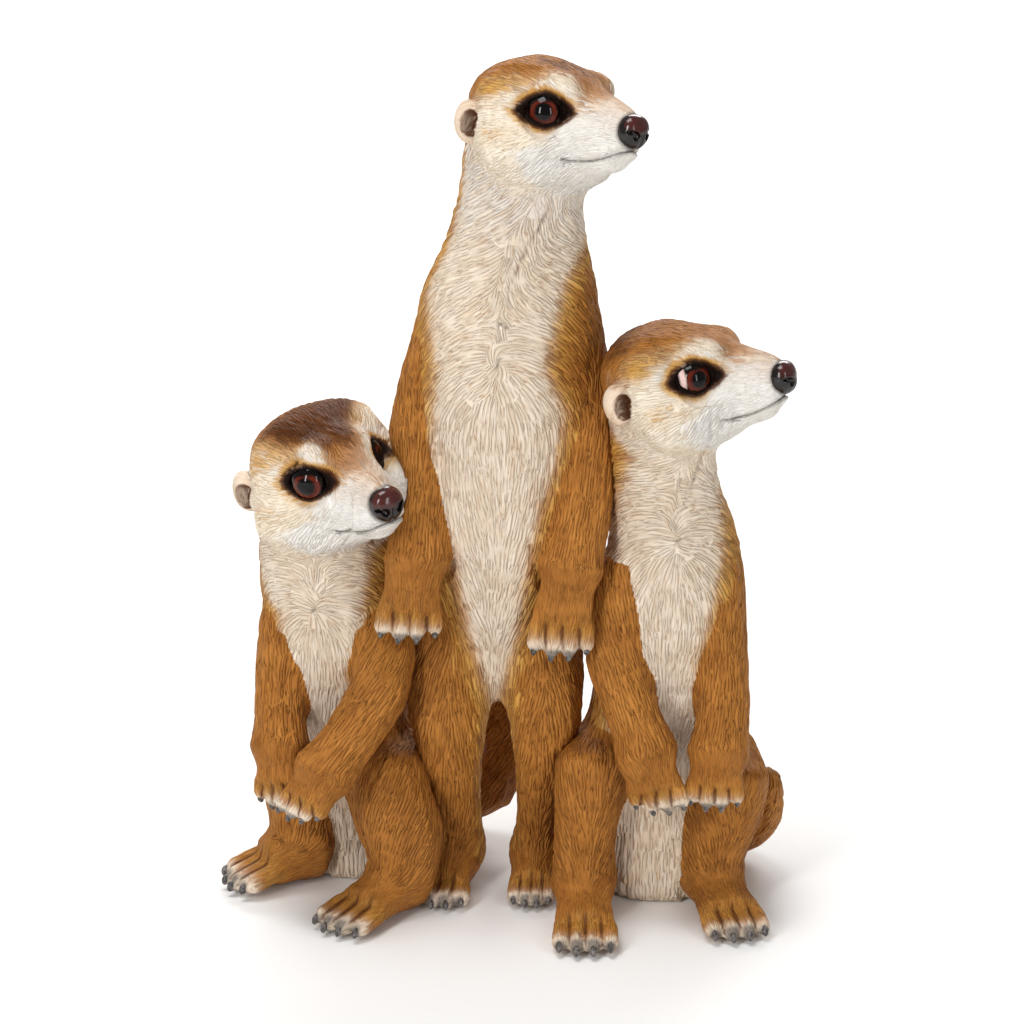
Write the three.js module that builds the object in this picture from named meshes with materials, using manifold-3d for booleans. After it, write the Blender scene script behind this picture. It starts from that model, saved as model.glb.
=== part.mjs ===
// A cast-resin garden statue: a meerkat standing upright with its forepaws on two smaller meerkats that sit
// at its sides. Millimetres, +Z up, the animals face -Y. The casting is one piece; here it is parted by
// thin cuts where a person would name the parts.
import * as THREE from "three";
import { mergeVertices } from "three/addons/utils/BufferGeometryUtils.js";
import Module from "manifold-3d";

const wasm = await Module();
wasm.setup();

// ---- driving dimensions -------------------------------------------------------------------------------
const GAP = 0.3; // the cut between two named parts
const FLOOR = 0; // the level that feet, seats and tails are ground flat to
const TOES = 4; // on every paw and foot
const SPREAD = 1.1; // how much wider the toes stand at their tips than at their roots
const SMOOTHING = 0.02; // how far a corner may move when slivers left by the cuts are cleared

const PAINT = {
  coat: { color: 0xb87a35, roughness: 0.6 },
  bib: { color: 0xe4d3b8, roughness: 0.6 },
  face: { color: 0xd9c3a0, roughness: 0.6 },
  paw: { color: 0xb98a55, roughness: 0.6 },
  ear: { color: 0xcdb08c, roughness: 0.6 },
  nose: { color: 0x4a1f1c, roughness: 0.25 },
  eye: { color: 0x3a120c, roughness: 0.08 },
};

const X = new THREE.Vector3(1, 0, 0);
const Y = new THREE.Vector3(0, 1, 0);
const Z = new THREE.Vector3(0, 0, 1);
const vec = (p) => new THREE.Vector3(...p);

// ---- forms --------------------------------------------------------------------------------------------

// A closed swept form: a sphere's rings, laid along a smooth spine as ovals and rounded off at both ends.
// A station is [x, y, z, half across, half front, half back, taper]. `across` points along the oval's width,
// the front half-depth lies on the side that across, turned over the spine, points to, and a taper narrows
// the oval towards its front.
function sweep(stations, { across = X, sides = 8, rings = 6, endRings = 1, ends = [1, 1], grow = 0 } = {}) {
  const spine = new THREE.CatmullRomCurve3(stations.map((s) => vec(s)));
  const girth = new THREE.CatmullRomCurve3(stations.map((s) => vec(s.slice(3, 6))));
  const tapers = new THREE.CatmullRomCurve3(stations.map((s) => new THREE.Vector3(s[6] ?? 0, 0, 0)));
  const total = rings + 2 * endRings;
  const shape = bare(new THREE.SphereGeometry(1, sides, total));
  const points = shape.getAttribute("position");
  const p = new THREE.Vector3();
  for (let i = 0; i < points.count; i++) {
    p.fromBufferAttribute(points, i);
    const ring = Math.round((Math.acos(THREE.MathUtils.clamp(p.y, -1, 1)) / Math.PI) * total);
    const along = THREE.MathUtils.clamp((ring - endRings) / rings, 0, 1);
    const overEnd = ring < endRings ? ring / endRings - 1 : Math.max(0, (ring - total) / endRings + 1);
    const turn = ring === 0 || ring === total ? 0 : Math.atan2(p.z, p.x);
    const tangent = spine.getTangent(along);
    const side = across.clone().addScaledVector(tangent, -across.dot(tangent)).normalize();
    const front = side.clone().cross(tangent).normalize();
    const half = girth.getPoint(along);
    const deep = (Math.sin(turn) > 0 ? half.y : half.z) + grow;
    const wide = (half.x + grow) * (1 - tapers.getPoint(along).x * Math.sin(turn));
    const blunt = (half.x + (half.y + half.z) / 2) / 2;
    const cap = blunt * (overEnd < 0 ? ends[0] : ends[1]) + grow;
    const angle = (overEnd * Math.PI) / 2;
    const inwards = ring === 0 || ring === total ? 0 : Math.cos(angle);
    p.copy(spine.getPoint(along))
      .addScaledVector(side, Math.cos(turn) * wide * inwards)
      .addScaledVector(front, Math.sin(turn) * deep * inwards)
      .addScaledVector(tangent, Math.sin(angle) * cap);
    points.setXYZ(i, p.x, p.y, p.z);
  }
  return shape;
}

// [x, y, z, radius] stations of a round limb, as the stations of a sweep.
const round = (stations) => stations.map(([x, y, z, r]) => [x, y, z, r, r, r]);

function ellipsoid(centre, half, { sides = 12, rings = 8, grow = 0 } = {}) {
  const shape = new THREE.SphereGeometry(1, sides, rings);
  shape.scale(...half.map((h) => h + grow));
  return bare(shape.translate(...centre));
}

// A toe: a long ellipsoid from its root to its tip.
function toeShape(root, tip, radius) {
  const shape = new THREE.SphereGeometry(1, 5, 3);
  shape.scale(radius, root.distanceTo(tip) / 2, radius);
  shape.applyQuaternion(new THREE.Quaternion().setFromUnitVectors(Y, tip.clone().sub(root).normalize()));
  const middle = root.clone().lerp(tip, 0.5);
  return bare(shape.translate(middle.x, middle.y, middle.z));
}

// A geometry's points and faces alone, with the doubled points along its seams merged.
function bare(geometry) {
  geometry.deleteAttribute("normal");
  geometry.deleteAttribute("uv");
  return mergeVertices(geometry, 1e-4);
}

// ---- solids: closed meshes that can be joined and cut --------------------------------------------------

function solid(geometry) {
  const mesh = {
    numProp: 3,
    vertProperties: geometry.attributes.position.array,
    triVerts: new Uint32Array(geometry.index.array),
  };
  const made = new wasm.Manifold(new wasm.Mesh(mesh));
  if (made.volume() >= 0) return made;
  mesh.triVerts.reverse();
  return new wasm.Manifold(new wasm.Mesh(mesh));
}

const join = (solids) => solids.reduce((a, b) => a.add(b));

function largest(made) {
  const bodies = made.decompose();
  return bodies.reduce((a, b) => (b.volume() > a.volume() ? b : a));
}

const floorBlock = solid(bare(new THREE.BoxGeometry(400, 400, 100).translate(0, 0, FLOOR - 50)));

// ---- paws: a palm or instep and four toes, each ending in a blunt claw ---------------------------------

// from, to: the wrist and the knuckles; toeEnd: the middle toes' tips. wide, thick and wrist are half sizes.
function paw({ from, to, toeEnd, across, wide, thick, wrist, toe }, grow) {
  const [a, b, c] = [from, to, toeEnd].map(vec);
  const middle = a.clone().lerp(b, 0.55).toArray();
  const palm = [
    [...from, wrist, wrist, wrist],
    [...middle, wide * 0.88, thick, thick],
    [...to, wide, thick * 0.9, thick * 0.9],
  ];
  const parts = [solid(sweep(palm, { across, sides: 7, rings: 2, ends: [0.3, 0.4], grow }))];
  const along = c.clone().sub(b).normalize();
  for (let i = 0; i < TOES; i++) {
    const slot = (2 * i) / (TOES - 1) - 1; // -1 to 1 across the paw
    const isOuter = Math.abs(slot) > 0.9;
    const root = b.clone().addScaledVector(across, slot * (wide - toe * 0.8)).addScaledVector(along, -toe);
    const tip = c.clone().addScaledVector(across, slot * (wide - toe * 0.8) * SPREAD);
    if (isOuter) tip.addScaledVector(along, -toe * 0.7);
    tip.addScaledVector(along, grow);
    parts.push(solid(toeShape(root, tip, toe + grow)));
  }
  return join(parts);
}

// ---- the head, in its own frame: origin between the eyes, +X to the nose, +Y to its left, +Z up --------

// Along the skull from its back to its lips: [x, half width, top, bottom, taper]. The taper makes the cheeks
// wider than the brow.
const SKULL = [
  [-29.7, 18.8, 15.8, -9.5, -0.1],
  [-24.3, 22.6, 18.8, -16, -0.2],
  [-18, 25.6, 19, -21.5, 0.1],
  [-10.8, 27.4, 17.2, -25.4, 0.6],
  [-3.6, 25.6, 15.2, -26.2, 0.8],
  [3.6, 17.4, 13.6, -24.8, 0.74],
  [9, 12, 10.6, -21.8, 0.55],
  [14.4, 9, 7.2, -19.2, 0.4],
  [19.8, 7.5, 5, -16.8, 0.25],
  [25.2, 5.2, 2, -13, 0.1],
];
const NOSE = { at: [26.4, 0, -3.9], half: [4, 5.6, 5.4] };
const EYE = { at: [-2.4, 11.2, 0], radius: 6.2 };
const EAR = {
  at: [-24.5, 24, -4.6],
  half: [4.6, 4.2, 7],
  hollow: [-22.2, 26.4, -5],
  hollowHalf: [3, 3.4, 4.4],
};

const mirrored = ([x, y, z], side) => [x, side * y, z];

const headParts = {
  head: (sway) => (grow) => {
    const stations = SKULL.map(([x, wide, top, bottom, taper]) => {
      const half = (top - bottom) / 2;
      const y = sway * THREE.MathUtils.smoothstep(-x, -NOSE.at[0], 0);
      return [x, y, bottom + half, wide, half, half, taper];
    });
    const along = { across: Y.clone().negate(), sides: 12, rings: 8, endRings: 2, ends: [0.35, 0.7], grow };
    return solid(sweep(stations, along));
  },
  nose: (grow) => solid(ellipsoid(NOSE.at, NOSE.half, { sides: 8, rings: 5, grow })),
  eye: (side) => (grow) => {
    const half = new Array(3).fill(EYE.radius);
    return solid(ellipsoid(mirrored(EYE.at, side), half, { sides: 8, rings: 5, grow }));
  },
  ear: (side) => (grow) => {
    const shell = solid(ellipsoid(mirrored(EAR.at, side), EAR.half, { sides: 7, rings: 4, grow }));
    if (grow) return shell;
    const hollow = ellipsoid(mirrored(EAR.hollow, side), EAR.hollowHalf, { sides: 5, rings: 3 });
    return shell.subtract(solid(hollow));
  },
};

function headMatrix({ at, turn, nod, tilt, size }) {
  const angles = new THREE.Euler(...[tilt, -nod, turn - 90].map(THREE.MathUtils.degToRad), "ZYX");
  const spin = new THREE.Quaternion().setFromEuler(angles);
  return new THREE.Matrix4().compose(vec(at), spin, new THREE.Vector3(size, size, size));
}

// ---- the three animals --------------------------------------------------------------------------------
// right and left are the animal's own. stand is the spot on the floor that its parts are placed from, and
// facing is where its chest points, in degrees from -Y towards +X.

const ANIMALS = {
  adult: {
    stand: [0, 0, 0],
    facing: 0,
    head: { at: [20.1, -8, 278.7], turn: 47.6, nod: 2.1, tilt: -7.4, size: 1, sway: 0 },
    neck: [
      [-0.4, 5, 211, 32.2, 22, 23.5],
      [1.2, 5, 225, 26.8, 20, 21.5],
      [2.2, 4, 238, 21.9, 18.5, 20],
      [3.1, 3, 252, 20.2, 18, 19.5],
      [4, 2, 266, 19.8, 16.5, 19],
    ],
    trunk: [
      [-7, 17, 76, 17, 15, 16],
      [-7, 13, 90, 25, 21, 23],
      [-6, 9, 106, 28.5, 25.5, 25],
      [-5, 6, 130, 28.5, 27.5, 23],
      [-4, 5, 158, 29, 27, 23.5],
      [-3, 4, 180, 31, 25.5, 26],
      [-1.4, 5, 198, 32.8, 24, 26],
      [-0.4, 5, 211, 32.3, 22, 23.5],
    ],
    arms: {
      right: {
        limb: [[-21, 6, 203, 11.5], [-28, 3, 180, 11.5], [-33, -5, 154, 10.5], [-31, -18, 128, 9.4]],
        paw: {
          from: [-32, -19, 126], to: [-34.5, -25, 112], toeEnd: [-35.5, -28, 100.5],
          wide: 11, thick: 5.8, wrist: 8, toe: 3.3,
        },
      },
      left: {
        limb: [[19, 6, 203, 11.5], [24, 3, 176, 11], [25, -8, 150, 10.2], [20, -19, 126, 9.4]],
        paw: {
          from: [20, -20, 124], to: [17, -26, 108], toeEnd: [16, -29, 94.5],
          wide: 10.8, thick: 5.8, wrist: 8, toe: 3.3,
        },
      },
    },
    legs: {
      right: {
        limb: [
          [-20, 8, 93, 17], [-22, -2, 72, 14.8], [-21.5, -5, 50, 11], [-19.5, 3, 26, 8.6], [-18.5, 8, 12, 8.2],
        ],
        foot: {
          from: [-20, 8, 9], to: [-24.5, -9, 5.5], toeEnd: [-25.7, -24.5, 2.6],
          wide: 9.8, thick: 6, wrist: 7.5, toe: 3.4,
        },
      },
      left: {
        limb: [[7, 8, 93, 17], [11.5, -2, 72, 14], [10.5, -5, 50, 9.8], [8.5, 3, 26, 6.6], [8, 8, 12, 6.6]],
        foot: {
          from: [8, 8, 9], to: [7, -8, 5.5], toeEnd: [6.5, -23.5, 2.6],
          wide: 8, thick: 6, wrist: 6.5, toe: 3,
        },
      },
    },
    tail: [
      [-4, 24, 84, 13],
      [-2, 32, 62, 12],
      [-1.5, 35, 43, 11],
      [-5, 37, 29, 10.2],
      [-14, 42, 18, 9.6],
      [-28, 52, 10.5, 8.8],
      [-45, 66, 7.2, 7.4],
      [-62, 71, 5.8, 5.8],
      [-76, 68, 4.8, 4.4],
    ],
  },
  right_pup: {
    stand: [52, 0, 0],
    facing: -4,
    head: { at: [65.5, -14, 192.9], turn: 67.7, nod: 8.7, tilt: 0.6, size: 0.99, sway: 0 },
    neck: [
      [55, -3, 130, 23.4, 18, 20],
      [52.9, -4, 141, 20.4, 17, 19],
      [51, -5, 152, 18.3, 16.5, 18],
      [50.6, -7, 164, 17.9, 16.5, 18],
      [50, -8, 177, 17, 15.5, 17],
    ],
    trunk: [
      [52, 14, -4, 25, 32, 26],
      [51, 14, 20, 27.5, 29, 28],
      [51.5, 10, 44, 27, 25.5, 27],
      [53, 4, 69, 25, 23, 24],
      [55, -1, 98, 24.5, 21, 22],
      [55.6, -3, 118, 24.8, 19.5, 21],
      [55, -3, 131, 23.4, 18, 20],
    ],
    arms: {
      right: {
        limb: [[39, -6, 120, 11], [34, -16, 96, 9.8], [41, -27, 76, 9.2], [46, -32, 64, 8.8]],
        paw: {
          from: [46, -33, 62], to: [49, -37, 52], toeEnd: [51, -39.5, 43],
          wide: 9.8, thick: 5.2, wrist: 7.8, toe: 3,
        },
      },
      left: {
        limb: [[68.5, -5, 120, 11], [71.5, -12, 94, 9.4], [72, -25, 74, 9], [70.5, -31, 64, 8.6]],
        paw: {
          from: [70.5, -32, 62], to: [69, -36, 53], toeEnd: [68.5, -38.5, 44],
          wide: 9.6, thick: 5.2, wrist: 7.6, toe: 3,
        },
      },
    },
    legs: {
      right: {
        limb: [[36, 8, 36, 17], [29, -12, 55, 14], [26, -20, 40, 11.5], [25, -19, 20, 10], [25, -16, 10, 9]],
        foot: {
          from: [25, -20, 9], to: [25, -46, 6], toeEnd: [24.5, -64.5, 2.6],
          wide: 10.8, thick: 6.4, wrist: 9, toe: 3.6,
        },
      },
      left: {
        limb: [[68, 8, 38, 17], [76, -10, 52, 14], [75, -14, 36, 12.5], [70, -12, 20, 10.5], [68, -9, 10, 9]],
        foot: {
          from: [69, -12, 9], to: [75, -36, 6], toeEnd: [78.6, -52.5, 2.6],
          wide: 11, thick: 6.4, wrist: 9, toe: 3.6,
        },
      },
    },
    tail: [
      [58, 36, 10.5, 9],
      [70, 34, 9, 8.2],
      [81, 26, 10.5, 7.8],
      [87, 16, 18, 7.2],
      [89.5, 7, 29, 6.6],
      [89, 0, 41, 5.4],
    ],
  },
  left_pup: {
    stand: [-60, 10, 0],
    facing: -30,
    head: { at: [-56.7, -18, 158.9], turn: 31.7, nod: -1.4, tilt: 13.2, size: 1.045, sway: 1.2 },
    neck: [
      [-65, 4, 104, 24, 18, 20],
      [-67, 2, 115, 22.2, 17, 19],
      [-68.5, 0, 126, 18.8, 16.5, 18],
      [-69, -1, 137, 17.8, 16, 18],
      [-68.5, 0, 148, 17.5, 15.5, 17],
    ],
    trunk: [
      [-54, 30, -4, 24, 27, 25],
      [-55, 29, 20, 26, 25, 26],
      [-57, 23, 43, 26, 25, 26],
      [-61, 14, 68, 24, 22, 23],
      [-64, 6, 90, 23.5, 19.5, 21],
      [-65.5, 4, 104, 23, 18, 20],
    ],
    arms: {
      right: {
        limb: [[-77, 4, 100, 10.5], [-80, -6, 78, 9], [-79.5, -19, 62, 8.4]],
        paw: {
          from: [-79.5, -21, 60], to: [-80.5, -26, 50], toeEnd: [-80, -29, 40.5],
          wide: 8.6, thick: 5.2, wrist: 7.6, toe: 2.8,
        },
      },
      left: {
        limb: [[-46, -4, 98, 12], [-44, -18, 84, 10.5], [-56, -29, 66, 9.4], [-64, -33, 57, 8.4]],
        paw: {
          from: [-65, -34, 56], to: [-70, -37, 48], toeEnd: [-74, -39.5, 41],
          wide: 9.6, thick: 5.2, wrist: 8, toe: 3,
        },
      },
    },
    legs: {
      right: {
        limb: [[-68, 28, 34, 16], [-78, 8, 46, 12], [-76, 6, 30, 10.5], [-72, 8, 14, 9]],
        foot: {
          from: [-70, 9, 11], to: [-86, 2.5, 8.5], toeEnd: [-101.5, -6, 3],
          wide: 11.4, thick: 8.8, wrist: 10.4, toe: 3.9,
        },
      },
      left: {
        limb: [[-38, 18, 36, 19], [-44, -12, 44, 15], [-38, -18, 28, 14.5], [-36, -14, 12, 9.5]],
        foot: {
          from: [-37, -16, 9], to: [-51.5, -31, 6.5], toeEnd: [-63, -46, 2.6],
          wide: 11.2, thick: 6.8, wrist: 9.5, toe: 3.5,
        },
      },
    },
    tail: [
      [-58, 48, 10, 8.8],
      [-69, 48, 7.6, 7.6],
      [-77, 43, 6, 6.2],
      [-81, 32, 4.8, 4.8],
    ],
  },
};

const heading = (degrees) => X.clone().applyAxisAngle(Z, THREE.MathUtils.degToRad(degrees));

const swept = (stations, options) => (grow) => solid(sweep(stations, { ...options, grow }));

// Every named part of one animal, by name, as [paint, (grow) => solid].
function partsOf(animal, a) {
  const wideways = heading(a.facing); // across the chest
  const matrix = headMatrix(a.head);
  const placed = (make) => (grow) => make(grow / a.head.size).transform(matrix.toArray());
  const parts = {
    [`${animal}_nose`]: ["nose", placed(headParts.nose)],
    [`${animal}_head`]: ["face", placed(headParts.head(a.head.sway))],
    [`${animal}_neck`]: ["bib", swept(a.neck, { across: wideways, sides: 10, rings: 3, ends: [0.3, 0.3] })],
    [`${animal}_trunk`]: ["bib", swept(a.trunk, { across: wideways, sides: 10, rings: 7, ends: [0.6, 0.3] })],
    [`${animal}_tail`]: ["coat", swept(round(a.tail), { sides: 7, rings: 7, ends: [0.8, 0.9] })],
  };
  for (const [side, sign] of [["right", -1], ["left", 1]]) {
    parts[`${animal}_eye_${side}`] = ["eye", placed(headParts.eye(sign))];
    parts[`${animal}_ear_${side}`] = ["ear", placed(headParts.ear(sign))];
    const { limb: armLine, paw: hand } = a.arms[side];
    const { limb: legLine, foot } = a.legs[side];
    const handAcross = acrossOf(hand, wideways);
    const footAcross = acrossOf(foot, wideways);
    parts[`${animal}_arm_${side}`] = ["coat", swept(round(armLine), { rings: 5, ends: [0.8, 0.3] })];
    parts[`${animal}_forepaw_${side}`] = ["paw", (grow) => paw({ ...hand, across: handAcross }, grow)];
    parts[`${animal}_leg_${side}`] = ["coat", swept(round(legLine), { rings: 6, ends: [0.8, 0.5] })];
    parts[`${animal}_foot_${side}`] = ["paw", (grow) => paw({ ...foot, across: footAcross }, grow)];
  }
  return parts;
}

// The level direction across a paw: at right angles to where it points, on the side nearest `like`.
function acrossOf({ from, toeEnd }, like) {
  const pointing = vec(toeEnd).sub(vec(from));
  const flat = new THREE.Vector3(pointing.x, pointing.y, 0);
  if (flat.length() < 0.75 * pointing.length()) return like.clone();
  return new THREE.Vector3(-flat.y, flat.x, 0).normalize();
}

// ---- the casting: each part gives way to those before it ------------------------------------------------

const all = {};
for (const [animal, a] of Object.entries(ANIMALS)) Object.assign(all, partsOf(animal, a));

// What lies in front or on top keeps its full form, and what it covers is cut back to it. The adult stands
// behind the young: of two like parts its own gives way, but for its forepaws, which lie on them.
const FRONT_TO_BACK = [
  "eye", "nose", "ear", "forepaw", "foot", "head", "arm", "leg", "trunk", "neck", "tail",
];
const rank = (name) => {
  const place = FRONT_TO_BACK.findIndex((word) => name.includes(`_${word}`));
  const isBehind = name.startsWith("adult") && !name.includes("forepaw");
  return place + (isBehind ? 0.5 : 0);
};
const order = Object.keys(all).sort((p, q) => rank(p) - rank(q));

const reaches = (p, q) => p.min.every((v, i) => v < q.max[i] + GAP);
const touches = (p, q) => reaches(p, q) && reaches(q, p);

const statue = new THREE.Group();
const groups = {};
for (const [animal, { stand }] of Object.entries(ANIMALS)) {
  groups[animal] = new THREE.Group();
  groups[animal].position.set(...stand);
  statue.add(groups[animal]);
}

function meshOf(name, paint, body) {
  const { vertProperties, triVerts, numProp, numVert } = body.getMesh();
  const points = new Float32Array(numVert * 3);
  for (let i = 0; i < numVert; i++) points.set(vertProperties.subarray(i * numProp, i * numProp + 3), i * 3);
  const geometry = new THREE.BufferGeometry();
  geometry.setAttribute("position", new THREE.BufferAttribute(points, 3));
  geometry.setIndex(new THREE.BufferAttribute(triVerts, 1));
  geometry.computeVertexNormals();
  geometry.computeBoundingBox();
  const mesh = new THREE.Mesh(geometry, new THREE.MeshStandardMaterial(PAINT[paint]));
  mesh.name = name;
  geometry.boundingBox.getCenter(mesh.position).round();
  geometry.translate(-mesh.position.x, -mesh.position.y, -mesh.position.z);
  return mesh;
}

const done = [];
for (const name of order) {
  const [paint, make] = all[name];
  let body = make(0).subtract(floorBlock);
  const box = body.boundingBox();
  for (const other of done) if (touches(box, other.box)) body = body.subtract(other.grown);
  body = largest(body).simplify(SMOOTHING);
  const grown = make(GAP);
  done.push({ grown, box: grown.boundingBox() });

  const mesh = meshOf(name, paint, body);
  const group = groups[Object.keys(ANIMALS).find((animal) => name.startsWith(animal))];
  mesh.position.sub(group.position);
  group.add(mesh);
}

// The origin is the middle of the statue's footprint.
const middle = new THREE.Box3().setFromObject(statue, true).getCenter(new THREE.Vector3());
statue.position.set(-middle.x, -middle.y, 0);

export default statue;
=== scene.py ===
"""A painted cast-resin garden statue of three meerkats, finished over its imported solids.

Each animal's named solids are melted into one carved skin: the solids' distance fields are joined, softened
and meshed, and the face and paws are modelled into the field. The mesh carries which way the carved fur runs,
in overlapping patches, and where each paint lies, and the resin material carves and paints the strokes from
that. Eyes, noses and claws are pieces of their own.
"""

import math
from concurrent.futures import ThreadPoolExecutor

import bpy
import numpy as np
import openvdb
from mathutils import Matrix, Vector


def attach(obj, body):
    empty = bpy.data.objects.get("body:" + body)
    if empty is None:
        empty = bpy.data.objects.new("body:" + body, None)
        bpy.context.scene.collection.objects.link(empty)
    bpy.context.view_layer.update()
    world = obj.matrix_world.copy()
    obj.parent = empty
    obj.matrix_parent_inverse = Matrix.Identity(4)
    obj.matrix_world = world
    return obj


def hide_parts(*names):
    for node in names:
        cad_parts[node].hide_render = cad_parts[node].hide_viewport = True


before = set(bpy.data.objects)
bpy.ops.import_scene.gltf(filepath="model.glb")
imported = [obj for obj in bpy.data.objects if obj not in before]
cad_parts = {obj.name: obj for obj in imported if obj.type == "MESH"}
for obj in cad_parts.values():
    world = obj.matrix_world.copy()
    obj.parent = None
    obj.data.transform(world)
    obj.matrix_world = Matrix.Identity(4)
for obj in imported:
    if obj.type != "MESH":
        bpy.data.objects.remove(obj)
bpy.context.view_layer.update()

# ---- sizes, in millimetres unless a name says otherwise --------------------------------------------------

MM = 0.001
ANIMALS = ("adult", "right_pup", "left_pup")
FINE = 0.56  # spacing of the field that is meshed
COARSE = 2 * FINE  # spacing of the field that the bodies are softened on
REACH = 10.0  # how far from a solid its distances are kept

SWELL = 0.55  # makes good what facets and softening take off the bodies
PAW_SWELL = 0.3
HEAD_SWELL = 0.6
JAW_FILL = 8.0  # how widely the crease between head and neck is filled
WRIST_FILL = 12.0  # and between a paw and its limb
HIP_FILL = 7.0  # and between a leg and the trunk
JOINT_WIDTH = 9.0  # over how far a finely modelled form runs into its neighbour
FORM_EDGE, FORM_REACH = 3.5, 5.5  # how far from it a finely modelled form starts to count less, and stops
BODY_SOFTNESS = 3.2  # spread of the softening on trunks and necks
LIMB_SOFTNESS = 2.0
PAW_SOFTNESS = 0.8
TAIL_SOFTNESS = 1.0
HEAD_SOFTNESS = 2.0

# Places on a head, in its own frame: origin between the eyes, +x to the nose, +y to its left, +z up.
EYE_AT = np.array([-2.4, 11.2, 0.0])  # the left eye's solid
# Where each animal's modelled left eye is, and how many degrees to the side of the nose it faces.
EYES = {
    "adult": ((-2.0, 11.7, 0.2), 54),
    "right_pup": ((-2.0, 11.7, 0.2), 54),
    "left_pup": ((-0.4, 9.9, 1.5), 47),
}
LEFT_PUP_SHIFT = -1.6  # how far its eyes are set over to its right, away from the adult
NOSE_AT = np.array([26.4, 0.0, -3.9])
EAR_AT = np.array([-24.5, 24.0, -4.6])
EYE_RADIUS = 6.5


# ---- fields of distances ---------------------------------------------------------------------------------

class Field:
    """Distances to a form on a regular grid, below zero inside it. low is the first grid point's index."""

    def __init__(self, low, step, values):
        self.low = np.asarray(low, int)
        self.step = step
        self.values = values

    def axes(self):
        return [(self.low[i] + np.arange(n)) * self.step for i, n in enumerate(self.values.shape)]

    def part(self, box_low, box_high):
        """A view of the values inside a box in mm, and the coordinates of its grid points."""
        start = np.maximum(np.floor(np.asarray(box_low) / self.step).astype(int) - self.low, 0)
        stop = np.minimum(np.ceil(np.asarray(box_high) / self.step).astype(int) - self.low, self.values.shape)
        window = tuple(slice(a, b) for a, b in zip(start, stop))
        grid = [(self.low[i] + np.arange(start[i], stop[i])) * self.step for i in range(3)]
        return self.values[window], np.meshgrid(*grid, indexing="ij", sparse=True)

    def at(self, points):
        """The values at any points, read between the grid points."""
        place = points / self.step - self.low
        limit = np.array(self.values.shape) - 1.001
        place = np.clip(place, 0, limit)
        whole = place.astype(int)
        rest = (place - whole).astype(np.float32)
        total = np.zeros(len(points), np.float32)
        for corner in np.ndindex(2, 2, 2):
            weight = np.prod(np.where(corner, rest, 1 - rest), axis=1)
            i, j, k = (whole + corner).T
            total += weight * self.values[i, j, k]
        return total


def node_mesh(node):
    """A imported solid's points in mm and its triangles."""
    mesh = node.data
    mesh.calc_loop_triangles()
    points = np.empty(len(mesh.vertices) * 3, np.float32)
    mesh.vertices.foreach_get("co", points)
    corners = np.empty(len(mesh.loop_triangles) * 3, np.int32)
    mesh.loop_triangles.foreach_get("vertices", corners)
    return points.reshape(-1, 3) / MM, corners.reshape(-1, 3).astype(np.uint32)


SOLIDS = {name: node_mesh(node) for name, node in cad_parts.items()}


def solid_field(name, step, reach=REACH):
    points, triangles = SOLIDS[name]
    low = np.floor((points.min(0) - reach) / step).astype(int)
    high = np.ceil((points.max(0) + reach) / step).astype(int)
    grid = openvdb.FloatGrid.createLevelSetFromPolygons(
        (points / step).astype(np.float32), triangles=triangles, halfWidth=reach / step)
    values = np.empty(tuple(high - low + 1), np.float32)
    grid.copyToArray(values, ijk=tuple(int(v) for v in low))
    return Field(low, step, values * step)


def soften(values, spread):
    """A Gaussian blur with the given spread, in grid points."""
    reach = int(3 * spread + 0.5)
    weights = np.exp(-0.5 * (np.arange(-reach, reach + 1) / spread) ** 2)
    weights = (weights / weights.sum()).astype(np.float32)
    for axis in range(3):
        rows = [(reach, reach) if i == axis else (0, 0) for i in range(3)]
        padded = np.pad(values, rows, mode="edge")
        values = np.zeros_like(values)
        for i, weight in enumerate(weights):
            window = [slice(None)] * 3
            window[axis] = slice(i, i + values.shape[axis])
            values += weight * padded[tuple(window)]
    return values


def doubled(values):
    """The same field on a grid twice as fine."""
    for axis in range(3):
        values = np.moveaxis(values, axis, 0)
        finer = np.empty((2 * len(values) - 1,) + values.shape[1:], np.float32)
        finer[0::2] = values
        finer[1::2] = (values[1:] + values[:-1]) / 2
        values = np.moveaxis(finer, 0, axis)
    return values


def melt(a, b, width):
    """The union of two forms, with the crease between them filled over about the given width."""
    share = np.clip(0.5 + 0.5 * (b - a) / width, 0, 1)
    return b + (a - b) * share - width * share * (1 - share)


def ramp(low, high, value):
    t = np.clip((value - low) / (high - low), 0, 1)
    return t * t * (3 - 2 * t)


def ellipsoid(place, centre, half):
    """About the distance to an ellipsoid."""
    scaled = [(p - c) / h for p, c, h in zip(place, centre, half)]
    reach = np.sqrt(sum(s * s for s in scaled)) + 1e-6
    slope = np.sqrt(sum((s / h) ** 2 for s, h in zip(scaled, half))) + 1e-6
    return reach * (reach - 1) / slope


# ---- heads -----------------------------------------------------------------------------------------------

def node_middle(name):
    points = SOLIDS[name][0]
    return (points.min(0) + points.max(0)) / 2


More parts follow.
